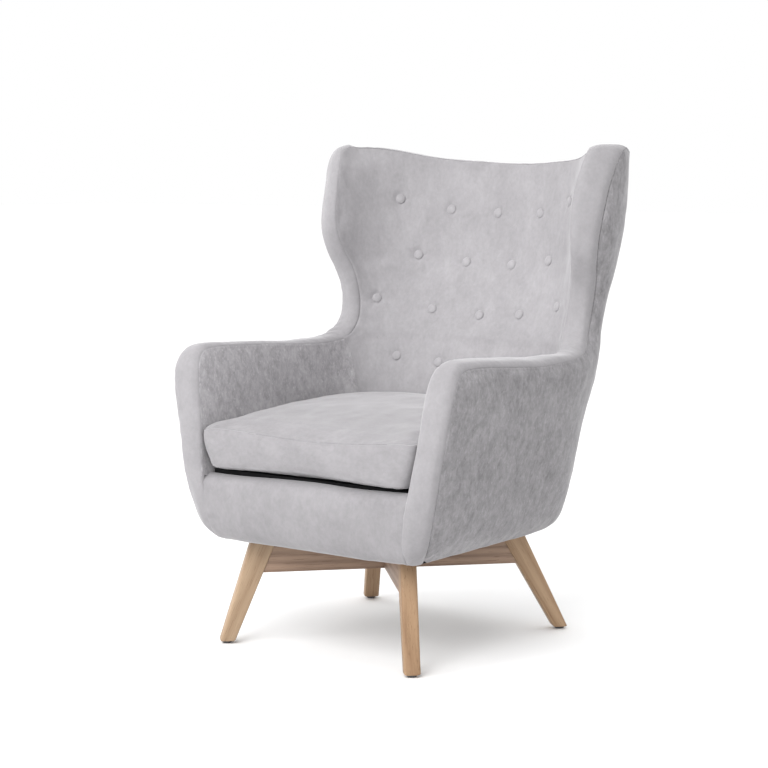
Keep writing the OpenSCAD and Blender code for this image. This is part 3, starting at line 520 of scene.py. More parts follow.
def outer_side():
    zs = [222, 265, 320, 380, 440, 495, 550, 600, 650, 700, 750, 800, 845, 890, 940, 990]
    yt = REAR_SEAM * float(look(.99, B_OUT))
    zs[-1] = 1000 * float(zto(np.arctan2(yt, xo(yt, .99)))) + .5
    low = np.array([[y / 1000, .2185] for y in (-226, -208, -184, -152, -112, -62, -5, 60, 130, 205, 264)]
                   + [[REAR_SEAM * float(look(z / 1000, B_OUT)), z / 1000 - (.0015 if z < 230 else 0)] for z in zs])
    u = np.linspace(0, 1, 420)
    v = spaced(.40, .0012, .0070, .06)
    a, b = crv(u, low)[:, None, :], crv(u, OUT)[:, None, :]
    # the rows leave the seam square to it, then swing to the lower and rear border
    tan = unit(np.gradient(b[:, 0], axis=0))
    ctrl = b + np.stack([tan[:, 1], -tan[:, 0]], 1)[:, None, :] * np.minimum(np.linalg.norm(b - a, axis=-1, keepdims=True) * .35, .04)
    ctrl = mix(ctrl, (a + b) / 2 + [0, .0006], smooth((u - .93) / .07)[:, None, None])   # along the top edge
    w = v[None, :, None]
    q = (1 - w) ** 2 * a + 2 * w * (1 - w) * ctrl + w ** 2 * b
    y, z = q[..., 0], q[..., 1]
    seam = crv(np.linspace(0, 1, 700), OUT)
    kd = KDTree(len(seam))
    for k, (sy, sz) in enumerate(seam):
        kd.insert((0, sy, sz), k)
    kd.balance()
    near = [kd.find((0, yy, zz)) for yy, zz in q.reshape(-1, 2)]
    d = np.array([f[2] for f in near]).reshape(y.shape) * (v[None, :] < 1)
    zn = np.array([f[0][2] for f in near]).reshape(y.shape)
    zn = np.where(v[None, :] < 1, zn, z)
    p = stack(xo(y, z) - look(zn, INSET) * np.clip(1 - d / .055, 0, 1) ** 2 - EASE * np.clip(1 - d / .030, 0, 1) ** 2, y, z)
    n = grid_normals(p)
    if n[130, 20, 0] < 0:
        n = -n
    d0, d1, e0, e1 = edge_dist(p)
    e1 = np.minimum(e1, np.where(v[None, :] < 1, d, 0))
    disp = tuck(e1) + stitch(e1) + roll(e0, .0025, .008) + tuck(d0)
    disp += .0012 * waves(p, .17, 3) * smooth(e1 / .04) * smooth(e0 / .03)
    disp += .00035 * waves(p, .024, 5, aniso=(1, 1, .6)) * np.exp(-((e1 - .013) / .012) ** 2)
    disp += .0003 * waves(p, .05, 9) * smooth(e1 / .02)
    return slab("side_panel_left", p, n, disp, .007, M_SHADED_OUTER)


# ---------------------------------------------------------------------------
# facing band round both arms, both wings and the top
# ---------------------------------------------------------------------------
def half_path():
    t = np.linspace(0, 1, 900)
    s = np.linspace(0, 1, 500)[1:]
    o = np.concatenate([o_side(t), o_top(s)])
    i = np.concatenate([i_side(t), i_top(s)])
    return o, i, np.concatenate([t, 1 + s])


def band():
    o, i, t = half_path()
    flip = np.array([-1, 1, 1])
    o = np.concatenate([o, (o * flip)[-2::-1]])
    i = np.concatenate([i, (i * flip)[-2::-1]])
    t = np.concatenate([t, t[-2::-1]])
    m = .5 * (o + i)
    c = np.concatenate([[0], np.cumsum(np.linalg.norm(np.diff(m, axis=0), axis=1))])
    s = np.linspace(0, c[-1], int(c[-1] / .0042))
    o = np.stack([np.interp(s, c, o[:, k]) for k in range(3)], 1)
    i = np.stack([np.interp(s, c, i[:, k]) for k in range(3)], 1)
    t = np.interp(s, c, t)
    v = spaced(.052, .0010, .0034, .016)
    base = mix(i[:, None, :], o[:, None, :], v[None, :, None])
    tan = unit(np.gradient(.5 * (o + i), axis=0))
    n = unit(np.cross(unit(o - i), tan))
    for _ in range(10):   # even out the turn at the corners
        n[1:-1] = unit(n[:-2] + 2 * n[1:-1] + n[2:])
    if n[len(n) // 2, 2] < 0:
        n = -n
    n_ = np.repeat(n[:, None, :], len(v), axis=1)
    w = np.linalg.norm(o - i, axis=1)
    end = np.minimum(s, s[-1] - s)
    prof = 1 - np.abs(2 * v - 1) ** np.where(v > .5, 4.0, 3.0)
    h = crown(t)[:, None] * prof[None, :] * np.clip(w / .045, .7, 1.1)[:, None]
    p = base + n_ * h[..., None]
    nn = grid_normals(p)
    if np.sum(nn * n_) < 0:
        nn = -nn
    near = np.minimum(v, 1 - v)[None, :] * w[:, None]
    disp = tuck(near, .0010, .0045) + stitch(near, .0060, .00025, .0010) + roll(end, .002, .005)[:, None]
    q = np.stack([np.repeat(s[:, None], len(v), 1), np.repeat(v[None, :] * .05, len(s), 0), np.zeros((len(s), len(v)))], -1)
    disp += .0006 * waves(q, .13, 21) * smooth(near / .014)
    disp += .00025 * waves(q, .020, 22, aniso=(1, .25, 1)) * np.exp(-((near - .008) / .007) ** 2)
    # small gathers where the band turns up from the arm into the wing
    bend = np.exp(-((p[..., 1] - .205) / .035) ** 2) * np.exp(-((p[..., 2] - .605) / .035) ** 2)
    disp += .0006 * bend * waves(q, .017, 27, aniso=(1, .3, 1)) * smooth(near / .01)
    r = mix(i[:, None, :], o[:, None, :], (.03 + .94 * v)[None, :, None]) - n_ * .0065
    off = np.array([0, Y0, 0])
    top = p + nn * disp[..., None]
    verts = np.concatenate([(top + off).reshape(-1, 3), (r + off).reshape(-1, 3)])
    return new_object("facing_band", verts, slab_faces(len(s), len(v)), M_BAND)


# ---------------------------------------------------------------------------
# inner back with buttons
# ---------------------------------------------------------------------------
SEAT = []                # how far the fabric is pulled in at each button
BUTTON_AT = mm([[-216, 896], [-107, 873], [11, 867], [126, 868], [221, 895], [-168, 773], [-50, 760], [67, 758], [170, 770],
                [-239, 677], [-111, 657], [12, 649], [114, 655], [216, 677], [-175, 554], [-65, 546], [65, 546], [175, 554]])


def button_frames():
    x, z = BUTTON_AT[:, 0], BUTTON_AT[:, 1]
    e = .003
    p = stack(x, yi(x, z), z)
    n = unit(np.cross(stack(x + e, yi(x + e, z), z) - p, stack(x, yi(x, z + e), z + e) - p))
    n[n[:, 1] > 0] *= -1
    return p, n


def inner_back():
    uu = spaced(.78, .0014, .0032, .05) * 2 - 1
    vv = spaced(.64, .0014, .0032, .05, ends=(False, True))
    zt = ZT_I + (I_END[2] - ZT_I) * np.abs(uu) ** 2
    z = .362 + (zt[:, None] - .362) * vv[None, :]
    ye = iback_end(z) - .0040 * np.exp(-((z - .5925) / .006) ** 2)
    ae = np.arctan2(ye - YC, xi(ye, z))
    a = HALF - uu[:, None] * (HALF - ae)
    r = ri(a, z)
    p = stack(r * np.cos(a), YC + r * np.sin(a), z)
    n = grid_normals(p)
    if n[len(uu) // 2, len(vv) // 2, 1] > 0:
        n = -n
    bp, bn = button_frames()
    disp = np.zeros(p.shape[:2])
    crease = np.zeros(p.shape[:2])
    puff = np.ones(p.shape[:2])
    for k in range(len(bp)):
        d = np.linalg.norm(p - bp[k], axis=-1)
        disp -= .0030 * np.exp(-(d / .0135) ** 2) + .0018 * np.exp(-(d / .040) ** 2) + .0011 * np.exp(-((d - .0118) / .0026) ** 2)
        ax = unit(np.cross(bn[k], [0, 0, 1.0]))
        ay = np.cross(ax, bn[k])
        th = np.arctan2((p - bp[k]) @ ay, (p - bp[k]) @ ax)
        rnd = np.random.RandomState(100 + k)
        c = sum(rnd.uniform(.4, 1) * np.cos(m * th + rnd.uniform(0, 6.28)) for m in (4, 5, 7, 9))
        crease += .00026 * c * np.exp(-((d - .019) / .011) ** 2)
    d0, d1, e0, e1 = edge_dist(p)
    side = np.minimum(d0, d1)
    upper = smooth((z - .585) / .02)
    disp += crease
    disp += tuck(side) + tuck(e1)
    disp += .0011 * waves(p, .17, 41) * smooth(side / .03) * smooth(e1 / .03)
    disp += .00030 * waves(p, .030, 43, aniso=(1, 1, 1)) * np.exp(-((side - .014) / .014) ** 2)
    disp += .0022 * smooth(side / .05) * smooth(e1 / .05) * upper
    disp += .0003 * waves(p, .045, 44)
    for k in range(len(bp)):
        d = np.linalg.norm(p - bp[k], axis=-1)
        SEAT.append(float(disp.flat[np.argmin(d)]))
    ob = slab("inner_back_panel", p, n, disp, .010, M_SOFT)
    return ob


def buttons():
    bp, bn = button_frames()
    verts, faces = [], []
    prof = [(0, 3.0), (2.4, 2.95), (4.8, 2.7), (7.0, 2.25), (8.7, 1.6), (9.8, .8), (10.5, -.3), (10.7, -1.4), (10.3, -2.5), (8.6, -3.2), (0, -3.2)]
    seg = 40
    for k in range(len(bp)):
        n = bn[k]
        ax = unit(np.cross(n, [0, 0, 1.0]))
        ay = np.cross(ax, n)
        c = bp[k] + n * (SEAT[k] + .0016) + np.array([0, Y0, 0])
        rnd = np.random.RandomState(300 + k)
        tilt = rnd.uniform(-.05, .05, 2)
        base = len(verts)
        verts.append(c + n * prof[0][1] / 1000)
        for r, h in prof[1:-1]:
            for j in range(seg):
                th = 2 * math.pi * j / seg
                w = 1 + .012 * math.sin(3 * th + k) + .01 * math.sin(5 * th + 2 * k)
                x, y = r * w / 1000 * math.cos(th), r * w / 1000 * math.sin(th)
                verts.append(c + ax * x + ay * y + n * (h / 1000 + tilt[0] * x + tilt[1] * y))
        verts.append(c + n * prof[-1][1] / 1000)
        last = len(verts) - 1
        rings = len(prof) - 2
        for j in range(seg):
            faces.append((base, base + 1 + j, base + 1 + (j + 1) % seg))
            for i in range(rings - 1):
                a0, b0 = base + 1 + i * seg + j, base + 1 + i * seg + (j + 1) % seg
                faces.append((a0, a0 + seg, b0 + seg, b0))
            a0 = base + 1 + (rings - 1) * seg
            faces.append((last, a0 + (j + 1) % seg, a0 + j))
    return new_object("buttons", verts, faces, M_BTN, sharp=0)


def ties():
    """Twisted twine from each button back through the padding."""
    bp, bn = button_frames()
    verts, faces = [], []
    seg, rows = 12, 14
    for k in range(len(bp)):
        n = bn[k]
        ax = unit(np.cross(n, [0, 0, 1.0]))
        ay = np.cross(ax, n)
        c = bp[k] + n * (SEAT[k] - .0006) + np.array([0, Y0, 0])
        base = len(verts)
        for i in range(rows + 1):
            f = i / rows
            for j in range(seg):
                th = 2 * math.pi * j / seg
                r = .00090 + .00012 * math.cos(2 * th + f * 22)
                verts.append(c - n * (.026 * f) + ax * r * math.cos(th) + ay * r * math.sin(th))
        for i in range(rows):
            for j in range(seg):
                a0, b0 = base + i * seg + j, base + i * seg + (j + 1) % seg
                faces.append((a0, a0 + seg, b0 + seg, b0))
        faces.append(tuple(base + j for j in range(seg)))
        faces.append(tuple(base + rows * seg + j for j in range(seg - 1, -1, -1)))
    return new_object("button_twine", verts, faces, M_TWINE, sharp=50)


# ---------------------------------------------------------------------------
# inner arm panels
# ---------------------------------------------------------------------------
def inner_arm():
    zl = .350
    def left(r):
        return crv(mix(3.31, 7.6, r) / 26, INN)
    def right(r):
        z = mix(zl, .5910, r)
        return np.stack([iback_end(z), z], -1)
    tt = np.linspace(0, 1, 400)
    top = crv(mix(7.6, 14.0, tt) / 26, INN)
    c = np.concatenate([[0], np.cumsum(np.linalg.norm(np.diff(top, axis=0), axis=1))])
    s = spaced(.50, .0014, .0055, .04)
    r = spaced(.22, .0014, .0055, .04, ends=(False, True))
    t_ = np.stack([np.interp(s * c[-1], c, top[:, k]) for k in range(2)], -1)
    l_, r_ = left(r), right(r)
    b0, b1 = left(np.array(0.0)), right(np.array(0.0))
    b_ = mix(b0[None], b1[None], s[:, None])
    t_[-1] = r_[-1]
    S, R = s[:, None, None], r[None, :, None]
    q = ((1 - R) * b_[:, None] + R * t_[:, None] + (1 - S) * l_[None] + S * r_[None]
         - ((1 - S) * (1 - R) * b0 + S * (1 - R) * b1 + (1 - S) * R * t_[0] + S * R * r_[-1]))
    y, z = q[..., 0], q[..., 1]
    p = stack(xi(y, z), y, z)
    n = grid_normals(p)
    if n[20, 15, 0] > 0:
        n = -n
    d0, d1, e0, e1 = edge_dist(p)
    near = np.minimum(np.minimum(d0, d1), e1)
    disp = tuck(near) + stitch(near, .0065, .00025, .0011)
    disp += .0012 * smooth(near / .05)
    disp += .0011 * waves(p, .13, 61) * smooth(near / .03)
    disp += .00035 * waves(p, .028, 63) * np.exp(-((near - .013) / .012) ** 2)
    return slab("inner_arm_panel_left", p, n, disp, .008, M_LIT_INNER_ARM)


# ---------------------------------------------------------------------------
# front rail panel
# ---------------------------------------------------------------------------
def front_rail():
    prof = mm([[-246, 218], [-262, 218.4], [-276, 226], [-287, 242], [-295, 268], [-299, 297], [-298, 324], [-294, 341], [-285, 350.5], [-273, 354.5], [-262.5, 355]])
    u = spaced(.50, .0013, .0060, .04) * 2 - 1
    v = np.linspace(0, 1, 64)
    q = crv(v, prof)
    y = q[None, :, 0] - .004 * (1 - u[:, None] ** 2)
    z = np.broadcast_to(q[None, :, 1], y.shape)
    w = look(z, W_IN) + .0050
    sag = np.interp(u * .25, [-.245, -.176, -.08, .02, .11, .20, .25], [-.0025, -.0035, .0005, .0025, -.0010, .0015, .0040])
    sag = np.convolve(np.pad(sag, 6, mode="edge"), np.ones(13) / 13, mode="valid")
    z = z + sag[:, None] * smooth((z - .325) / .03)
    p = stack(w * u[:, None], y, z)
    n = grid_normals(p)
    if n[len(u) // 2, 30, 1] > 0:
        n = -n
    d0, d1, e0, e1 = edge_dist(p)
    side = np.minimum(d0, d1)
    face = smooth(e0 / .03) * smooth(e1 / .03)
    disp = tuck(side) + stitch(side)
    disp += .0010 * waves(p, .15, 71) * face * smooth(side / .03)
    disp += .0005 * waves(p, .05, 73, aniso=(1, 1, .5)) * face
    disp += .00035 * waves(p, .026, 74) * np.exp(-((side - .012) / .012) ** 2)
    return slab("front_rail_panel", p, n, disp, .006, M_RAIL)


# ---------------------------------------------------------------------------
# outer back panel
# ---------------------------------------------------------------------------
def outer_back():
    uu = spaced(.70, .0025, .0068, .04) * 2 - 1
    vv = spaced(.78, .0025, .0068, .04)
    yr = REAR_SEAM * look(np.array(.99), B_OUT)
    ar_top = np.arctan2(yr, xo(yr, np.array(.99)))
    zt = zto(HALF - np.abs(uu) * (HALF - ar_top))
    z = .2185 + (zt[:, None] - .2185) * vv[None, :]
    yr = REAR_SEAM * look(z, B_OUT)
    ar = np.arctan2(yr, xo(yr, z))
    a = HALF - uu[:, None] * (HALF - ar)
    r = ro(a, z)
    r = r - .004 * smooth((vv[None, :] - .96) / .04)
    p = stack(r * np.cos(a), r * np.sin(a), z)
    n = grid_normals(p)
    if n[len(uu) // 2, len(vv) // 2, 1] < 0:
        n = -n
    d0, d1, e0, e1 = edge_dist(p)
    side = np.minimum(d0, d1)
    disp = tuck(side) + stitch(side) + tuck(e1) + roll(e0, .0025, .008)
    disp += .0014 * waves(p, .2, 81) * smooth(side / .04) * smooth(e1 / .04)
    disp += .0004 * waves(p, .03, 83) * np.exp(-((side - .012) / .012) ** 2)
    return slab("outer_back_panel", p, n, disp, .006, M_SHADED_OUTER)


# ---------------------------------------------------------------------------
# deck and dust cover
# ---------------------------------------------------------------------------
def fan_solid(name, ring, z_top, z_bot, mat, crown=0.0, hang=None):
    """Closed plate from a ring of [x, y], with rings shrinking to the centre.
    hang: how far the border turns down at each point of the ring."""
    ring = np.asarray(ring)
    c = ring.mean(0)
    ks = np.concatenate([np.linspace(1, .9, 6), np.linspace(.85, .06, 20)])
    n = len(ring)
    verts, faces = [], []
    rows = len(ks) + (0 if hang is None else 3)
    for side, zz in ((0, z_top), (1, z_bot)):
        if hang is not None:
            for f in (1.0, .6, .2):
                for p, h in zip(ring, hang):
                    q = p + unit(p - c) * (.0010 if side == 0 else 0)
                    verts.append((q[0], q[1] + Y0, zz - h * f))
        for k in ks:
            for p in ring:
                q = c + (p - c) * k
                h = crown * (1 - k ** 4) if side == 0 else 0
                verts.append((q[0], q[1] + Y0, zz + h))
        verts.append((c[0], c[1] + Y0, zz + (crown if side == 0 else 0)))
    m = rows * n + 1
    for side in (0, 1):
        for i in range(rows - 1):
            for j in range(n):
                a0, b0 = side * m + i * n + j, side * m + i * n + (j + 1) % n
                faces.append((a0, a0 + n, b0 + n, b0))
        for j in range(n):
            faces.append((side * m + (rows - 1) * n + j, side * m + m - 1, side * m + (rows - 1) * n + (j + 1) % n))
    for j in range(n):
        faces.append((j, (j + 1) % n, m + (j + 1) % n, m + j))
    return new_object(name, verts, faces, mat, sharp=40), 0


def deck():
    z = .358
    w, b, p = float(look(z, W_IN)), float(look(z, B_IN)), float(look(z, P_I))
    a = np.radians(np.arange(0, 181, 3))
    r = 1 / ((np.abs(np.cos(a)) / (w - .004)) ** p + (np.sin(a) / (b - YC - .004)) ** p) ** (1 / p)
    arc = np.stack([r * np.cos(a), YC + r * np.sin(a)], 1)
    left = np.stack([np.full(40, -w + .004), np.linspace(YC, -.2585, 41)[1:]], 1)
    front = np.stack([np.linspace(-w + .004, w - .004, 60)[1:-1], np.full(58, -.2590)], 1)
    right = np.stack([np.full(40, w - .004), np.linspace(-.2585, YC, 41)[:-1]], 1)
    ring = np.concatenate([arc, left, front, right])
    hang = .0010 + .0110 * (ring[:, 1] < -.2580)
    return fan_solid("deck_cloth_sheet", ring, .3596, .3584, M_DECK_SHADE, hang=hang)[0], ring


def dust():
    a = np.radians(np.arange(0, 181, 3))
    r = ro(a, .221) - .010
    arc = np.stack([r * np.cos(a), r * np.sin(a)], 1)
    ys = np.linspace(0, -.250, 30)[1:]
    side = np.stack([-(xo(ys, .221) - .010), ys], 1)
    front = np.stack([np.linspace(-.222, .222, 50), np.full(50, -.254)], 1)
    ring = np.concatenate([arc, side, front, (side * [-1, 1])[::-1]])
    return fan_solid("dust_cover_sheet", ring, .2190, .2182, M_DUST)[0], ring


# ---------------------------------------------------------------------------
# seat cushion
# ---------------------------------------------------------------------------
C_HW, C_Y0, C_YC = .2610, -.288, -.040
C_S0, C_S1 = .372, .447
C_GAP = .012
C_RISE = .0225
C_UP = mm([[-320, 0], [-290, 0], [-245, 1.6], [-200, 5.4], [-150, 9.8], [-95, 13.6], [-37, 16.4], [30, 18.6], [110, 20.8], [200, 22.5], [230, 22.5]])


def cush_lift(y, z):
    """How much a point is higher than in a cushion with a level top."""
    return look(y, C_UP) * np.clip((z - C_S0) / (C_S1 - C_S0), 0, 1)


def cush_edge(a, z, inset):
    """Outline of the cushion in direction a at level z."""
    zs = np.clip(z, C_S0, C_S1)
    w = C_HW - inset - .008 * (C_S1 - zs) / .075
    b = look(np.clip(z, C_S0, C_S1 + C_RISE), B_IN) - C_GAP - inset - C_YC
    f = C_YC - C_Y0 - inset - .003 * (C_S1 - zs) / .075
    rear = np.sin(a) > 0
    p, d = np.where(rear, 4.2, 20.0), np.where(rear, b, f)
    r = 1 / ((np.abs(np.cos(a)) / w) ** p + (np.abs(np.sin(a)) / d) ** p) ** (1 / p)
    return r


def cushion_mesh(n_side, n_box, top, bottom, box):
    """Closed cushion: square grids mapped to the outline above and below, and a
    boxing ring between. top(d), bottom(d): height over the seam at distance d
    inside it; box(t): outward bulge at 0..1 up the boxing."""
    g = spaced(.51, .51 / n_side * .35, .51 / n_side * 1.25, .05) * 2 - 1
    N = len(g)
    S, T = np.meshgrid(g, g, indexing="ij")
    rs = np.maximum(np.abs(S), np.abs(T))
    ang = np.arctan2(T * .247 * (1), S * .256)
    def cap(z_seam, fn, sgn):
        zf = np.full_like(ang, z_seam)
        R = cush_edge(ang, zf, .001)
        R = cush_edge(ang, zf + cush_lift(C_YC + R * np.sin(ang), zf), .001)
        d = (1 - rs) * .25
        y = C_YC + R * rs * np.sin(ang)
        return stack(R * rs * np.cos(ang), y, z_seam + cush_lift(y, zf) + sgn * fn(d))
    tp, bt = cap(C_S1, top, 1), cap(C_S0, bottom, -1)
    loop = [(i, 0) for i in range(N - 1)] + [(N - 1, j) for j in range(N - 1)] + [(i, N - 1) for i in range(N - 1, 0, -1)] + [(0, j) for j in range(N - 1, 0, -1)]
    la = np.array([ang[i, j] for i, j in loop])
    t = spaced(.075, .075 / n_box * .4, .075 / n_box * 1.3, .02)[1:-1]
    zz = mix(C_S0, C_S1, t)
    ring = []
    for z, k in zip(zz, t):
        zf = np.full_like(la, z)
        R = cush_edge(la, zf, 0.0)
        lift = cush_lift(C_YC + R * np.sin(la), zf)
        R = cush_edge(la, zf + lift, 0.0) + box(k) - .001 * (1 - smooth(min(k, 1 - k) / .06))
        ring.append(stack(R * np.cos(la), C_YC + R * np.sin(la), zf + lift))
    verts = np.concatenate([tp.reshape(-1, 3), bt.reshape(-1, 3)] + ring)
    faces = []
    for i in range(N - 1):
        for j in range(N - 1):
            faces.append((i * N + j, (i + 1) * N + j, (i + 1) * N + j + 1, i * N + j + 1))
            o = N * N
            faces.append((o + i * N + j, o + i * N + j + 1, o + (i + 1) * N + j + 1, o + (i + 1) * N + j))
    L = len(loop)
    ids = [[N * N + i * N + j for i, j in loop]]
    for k in range(len(t)):
        ids.append([2 * N * N + k * L + m for m in range(L)])
    ids.append([i * N + j for i, j in loop])
    for k in range(len(ids) - 1):
        for m in range(L):
            m2 = (m + 1) % L
            faces.append((ids[k][m], ids[k][m2], ids[k + 1][m2], ids[k + 1][m]))
    seams = (np.array([verts[i] for i in ids[-1]]), np.array([verts[i] for i in ids[0]]))
    return verts, faces, seams


def top_h(d):
    return .0085 * smooth(d / .045) ** .8 + .0055 * smooth(d / .24)


def low_h(d):
    return .0085 * smooth(d / .055)


def simulate(verts, faces, cap):
    """Swell a voxel copy with cloth under pressure; returns start points and moves."""
    ob = new_object("sim_copy", verts, faces, M_CUSH, sharp=0)
    bpy.context.view_layer.objects.active = ob
    for o in bpy.context.selected_objects:
        o.select_set(False)
    ob.select_set(True)
    rm = ob.modifiers.new("r", "REMESH")
    rm.mode = "VOXEL"
    rm.voxel_size = .0078
    bpy.ops.object.modifier_apply(modifier=rm.name)
    start = np.array([v.co[:] for v in ob.data.vertices])
    cl = ob.modifiers.new("c", "CLOTH")
    st = cl.settings
    st.quality = 5
    st.mass = .25
    st.tension_stiffness = st.compression_stiffness = 80
    st.shear_stiffness = 8
    st.bending_stiffness = .6
    st.use_pressure = True
    st.uniform_pressure_force = .6
    st.effector_weights.gravity = 0
    scene.frame_start, scene.frame_end = 1, 20
    for f in range(1, 21):
        scene.frame_set(f)
    dg = bpy.context.evaluated_depsgraph_get()
    ev = ob.evaluated_get(dg).to_mesh()
    end = np.array([v.co[:] for v in ev.vertices])
    ob.evaluated_get(dg).to_mesh_clear()
    scene.frame_set(1)
    mv = end - start
    ev = np.empty(len(ob.data.edges) * 2, dtype=np.int32)
    ob.data.edges.foreach_get("vertices", ev)
    ev = ev.reshape(-1, 2)
    cnt = np.zeros(len(mv))
    np.add.at(cnt, ev[:, 0], 1)
    np.add.at(cnt, ev[:, 1], 1)
    for _ in range(40):   # keep the swelling, drop the small buckles
        acc = np.zeros_like(mv)
        np.add.at(acc, ev[:, 0], mv[ev[:, 1]])
        np.add.at(acc, ev[:, 1], mv[ev[:, 0]])
        mv = .45 * mv + .55 * acc / np.maximum(cnt, 1)[:, None]
    me = ob.data
    bpy.data.objects.remove(ob)
    bpy.data.meshes.remove(me)
    ln = np.linalg.norm(mv, axis=1, keepdims=True)
    mv = mv * np.minimum(1, cap / np.maximum(ln, 1e-9)) if cap else mv
    return start, mv


def carry(points, start, moves, k=10):
    kd = KDTree(len(start))
    for i, p in enumerate(start):
        kd.insert(p, i)
    kd.balance()
    out = np.zeros_like(points)
    for i, p in enumerate(points):
        w = 0.0
        acc = np.zeros(3)
        for co, j, d in kd.find_n(p, k):
            ww = 1 / (d * d + 3e-5)
            acc += moves[j] * ww
            w += ww
        out[i] = acc / w
    return out


def cushion():
    verts, faces, seams = cushion_mesh(104, 26, top_h, low_h, lambda t: .0015 * math.sin(math.pi * t))
    sv, sf, _ = cushion_mesh(60, 12, top_h, low_h, lambda t: 0.0)
    start, mv = simulate(sv, sf, .013)
    base = verts.copy()
    moved = verts + carry(base, start, mv)
    ob = new_object("seat_cushion_cover", moved, faces, M_CUSH, sharp=0)
    me = ob.data
    nrm = np.array([v.normal[:] for v in me.vertices])
    co = np.array([v.co[:] for v in me.vertices])
    kd_top, kd_low = KDTree(len(seams[0])), KDTree(len(seams[1]))
    # the seam lines, moved with the cover
    n_all = len(verts)
    tree = KDTree(n_all)
    for i, p in enumerate(verts):
        tree.insert(p, i)
    tree.balance()
    lines = []
    for sm in seams:
        idx = [tree.find(p)[1] for p in sm]
        lines.append(np.array([moved[i] for i in idx]))
    def dist_to(line):
        kd = KDTree(len(line) * 4)
        c = 0
        nxt = np.roll(line, -1, axis=0)
        for f in (0, .25, .5, .75):
            for p in line * (1 - f) + nxt * f:
                kd.insert(p, c)
                c += 1
        kd.balance()
        return np.array([kd.find(p)[2] for p in co])
    dt, dl = dist_to(lines[0]), dist_to(lines[1])
    d = np.zeros(len(co))
    for dd in (dt, dl):
        d -= .0019 * np.exp(-(dd / .0028) ** 2) + .0008 * np.exp(-(dd / .009) ** 2)
        d -= .0005 * np.exp(-((dd - .0066) / .0016) ** 2)
        d += .0004 * waves(co, .024, 91) * np.exp(-((dd - .013) / .010) ** 2)
    face = smooth(np.minimum(dt, dl) / .03)
    d += .0008 * waves(co, .14, 93) * face
    d += .0003 * waves(co, .045, 94) * face
    # creases drawn from the front corner across the top
    top = smooth((co[:, 2] - cush_lift(co[:, 1], co[:, 2]) - C_S1 + .002) / .01)
    for sx, amp in ((1, .0013), (-1, .0005)):
        cx, cy = sx * .250, -.280
        rr = np.hypot(co[:, 0] - cx, co[:, 1] - cy)
        th = np.arctan2(co[:, 1] - cy, (cx - co[:, 0]) * sx)
        d += amp * top * np.cos(th * 6 + 1.3) * np.exp(-((rr - .075) / .045) ** 2)
    q = co + nrm * d[:, None]
    # the front corners fill the width between the arms
    up = smooth((q[:, 2] - C_S0 + .004) / .065)
    cw = smooth((np.abs(q[:, 0]) - .17) / .07) * smooth((-.19 - q[:, 1]) / .07)
    q[:, 0] += np.sign(q[:, 0]) * (.0075 * up - .0060 * (1 - up)) * cw
    q[:, 1] -= .0045 * cw
    # the front edge hangs unevenly between the arms
    fr = smooth((-.10 - q[:, 1]) / .15)
    hi = smooth((q[:, 2] - C_S0) / (C_S1 - C_S0))
    def sway(heights):
        g = np.linspace(-.30, .30, 241)
        h = np.interp(g, [-.26, -.18, -.08, .02, .11, .16, .20, .26], heights) / 1000
        h = np.convolve(np.pad(h, 12, mode="edge"), np.ones(25) / 25, mode="valid")
        return np.interp(q[:, 0], g, h)
    q[:, 2] += fr * (hi * sway([3, 0, -4, -6, -3, 0, 4, 10]) + (1 - hi) * sway([-7, -5.5, -2.5, -1.5, -3.5, -5.5, -6.5, -4]))
    # soft front corners
    for sx, drop in ((-1, .0085), (1, .0030)):
        away = np.hypot(q[:, 0] - sx * .266, q[:, 1] + .292)
        q[:, 2] -= drop * np.exp(-(away / .026) ** 2) * hi
    # stay on the deck and clear of the shell
    q[:, 2] = np.maximum(q[:, 2], .3612 + .0004 * np.sin(q[:, 0] * 60))
    front_keep = q[:, 1] < -.246
    q[:, 2] = np.where(front_keep, np.maximum(q[:, 2], .3632), q[:, 2])
    lim = look(q[:, 2], W_IN) - .0035
    q[:, 0] = np.clip(q[:, 0], -lim, lim)
    back = yi(np.minimum(np.abs(q[:, 0]), look(q[:, 2], W_IN) - .004), q[:, 2]) - .0035
    q[:, 1] = np.minimum(q[:, 1], np.maximum(back, .05))
    # flat seat for the zip on the rear face
    zy = float(look(.409, B_IN)) - C_GAP + .0012
    tilt = math.tan(math.radians(14.5))
    plane = zy + (q[:, 2] - .409) * tilt
    m = smooth((.160 - np.abs(q[:, 0])) / .012) * smooth((.0185 - np.abs(q[:, 2] - .409)) / .006) * (q[:, 1] > .1)
    q[:, 1] = q[:, 1] + m * (np.minimum(q[:, 1], plane) - q[:, 1])
    q[:, 1] += Y0
    me.vertices.foreach_set("co", q.ravel())
    me.update()
    return ob


def zip_teeth():
    """Two rows of coil teeth along the zip tape."""
    verts, faces = [], []
    zy = float(look(.409, B_IN)) - C_GAP + .001 + Y0
    tilt = math.radians(-14.5)
    up = np.array([0, -math.sin(tilt), math.cos(tilt)])
    out = np.array([0, math.cos(tilt), math.sin(tilt)])
    c0 = np.array([0, zy, .409])
    n = 118
    for k in range(n):
        x = -.146 + .292 * k / (n - 1)
        for s in (1, -1):
            xx = x + (.0006 if s > 0 else -.0006)
            c = c0 + np.array([xx, 0, 0]) + out * .0027 + up * s * .0009
            b = len(verts)
            for dx in (-.0005, .0005):
                for du in (-.0013, .0013):
                    for do in (-.0004, .0005):
                        verts.append(c + np.array([dx, 0, 0]) + up * du + out * do)
            for f in ((0, 1, 3, 2), (4, 6, 7, 5), (0, 4, 5, 1), (2, 3, 7, 6), (0, 2, 6, 4), (1, 5, 7, 3)):
                faces.append(tuple(b + i for i in f))
    return new_object("zip_teeth", verts, faces, plain("zip_coil", (.36, .36, .37), (.50, .50, .51), 900, rough=.45, bump=.1), sharp=30)


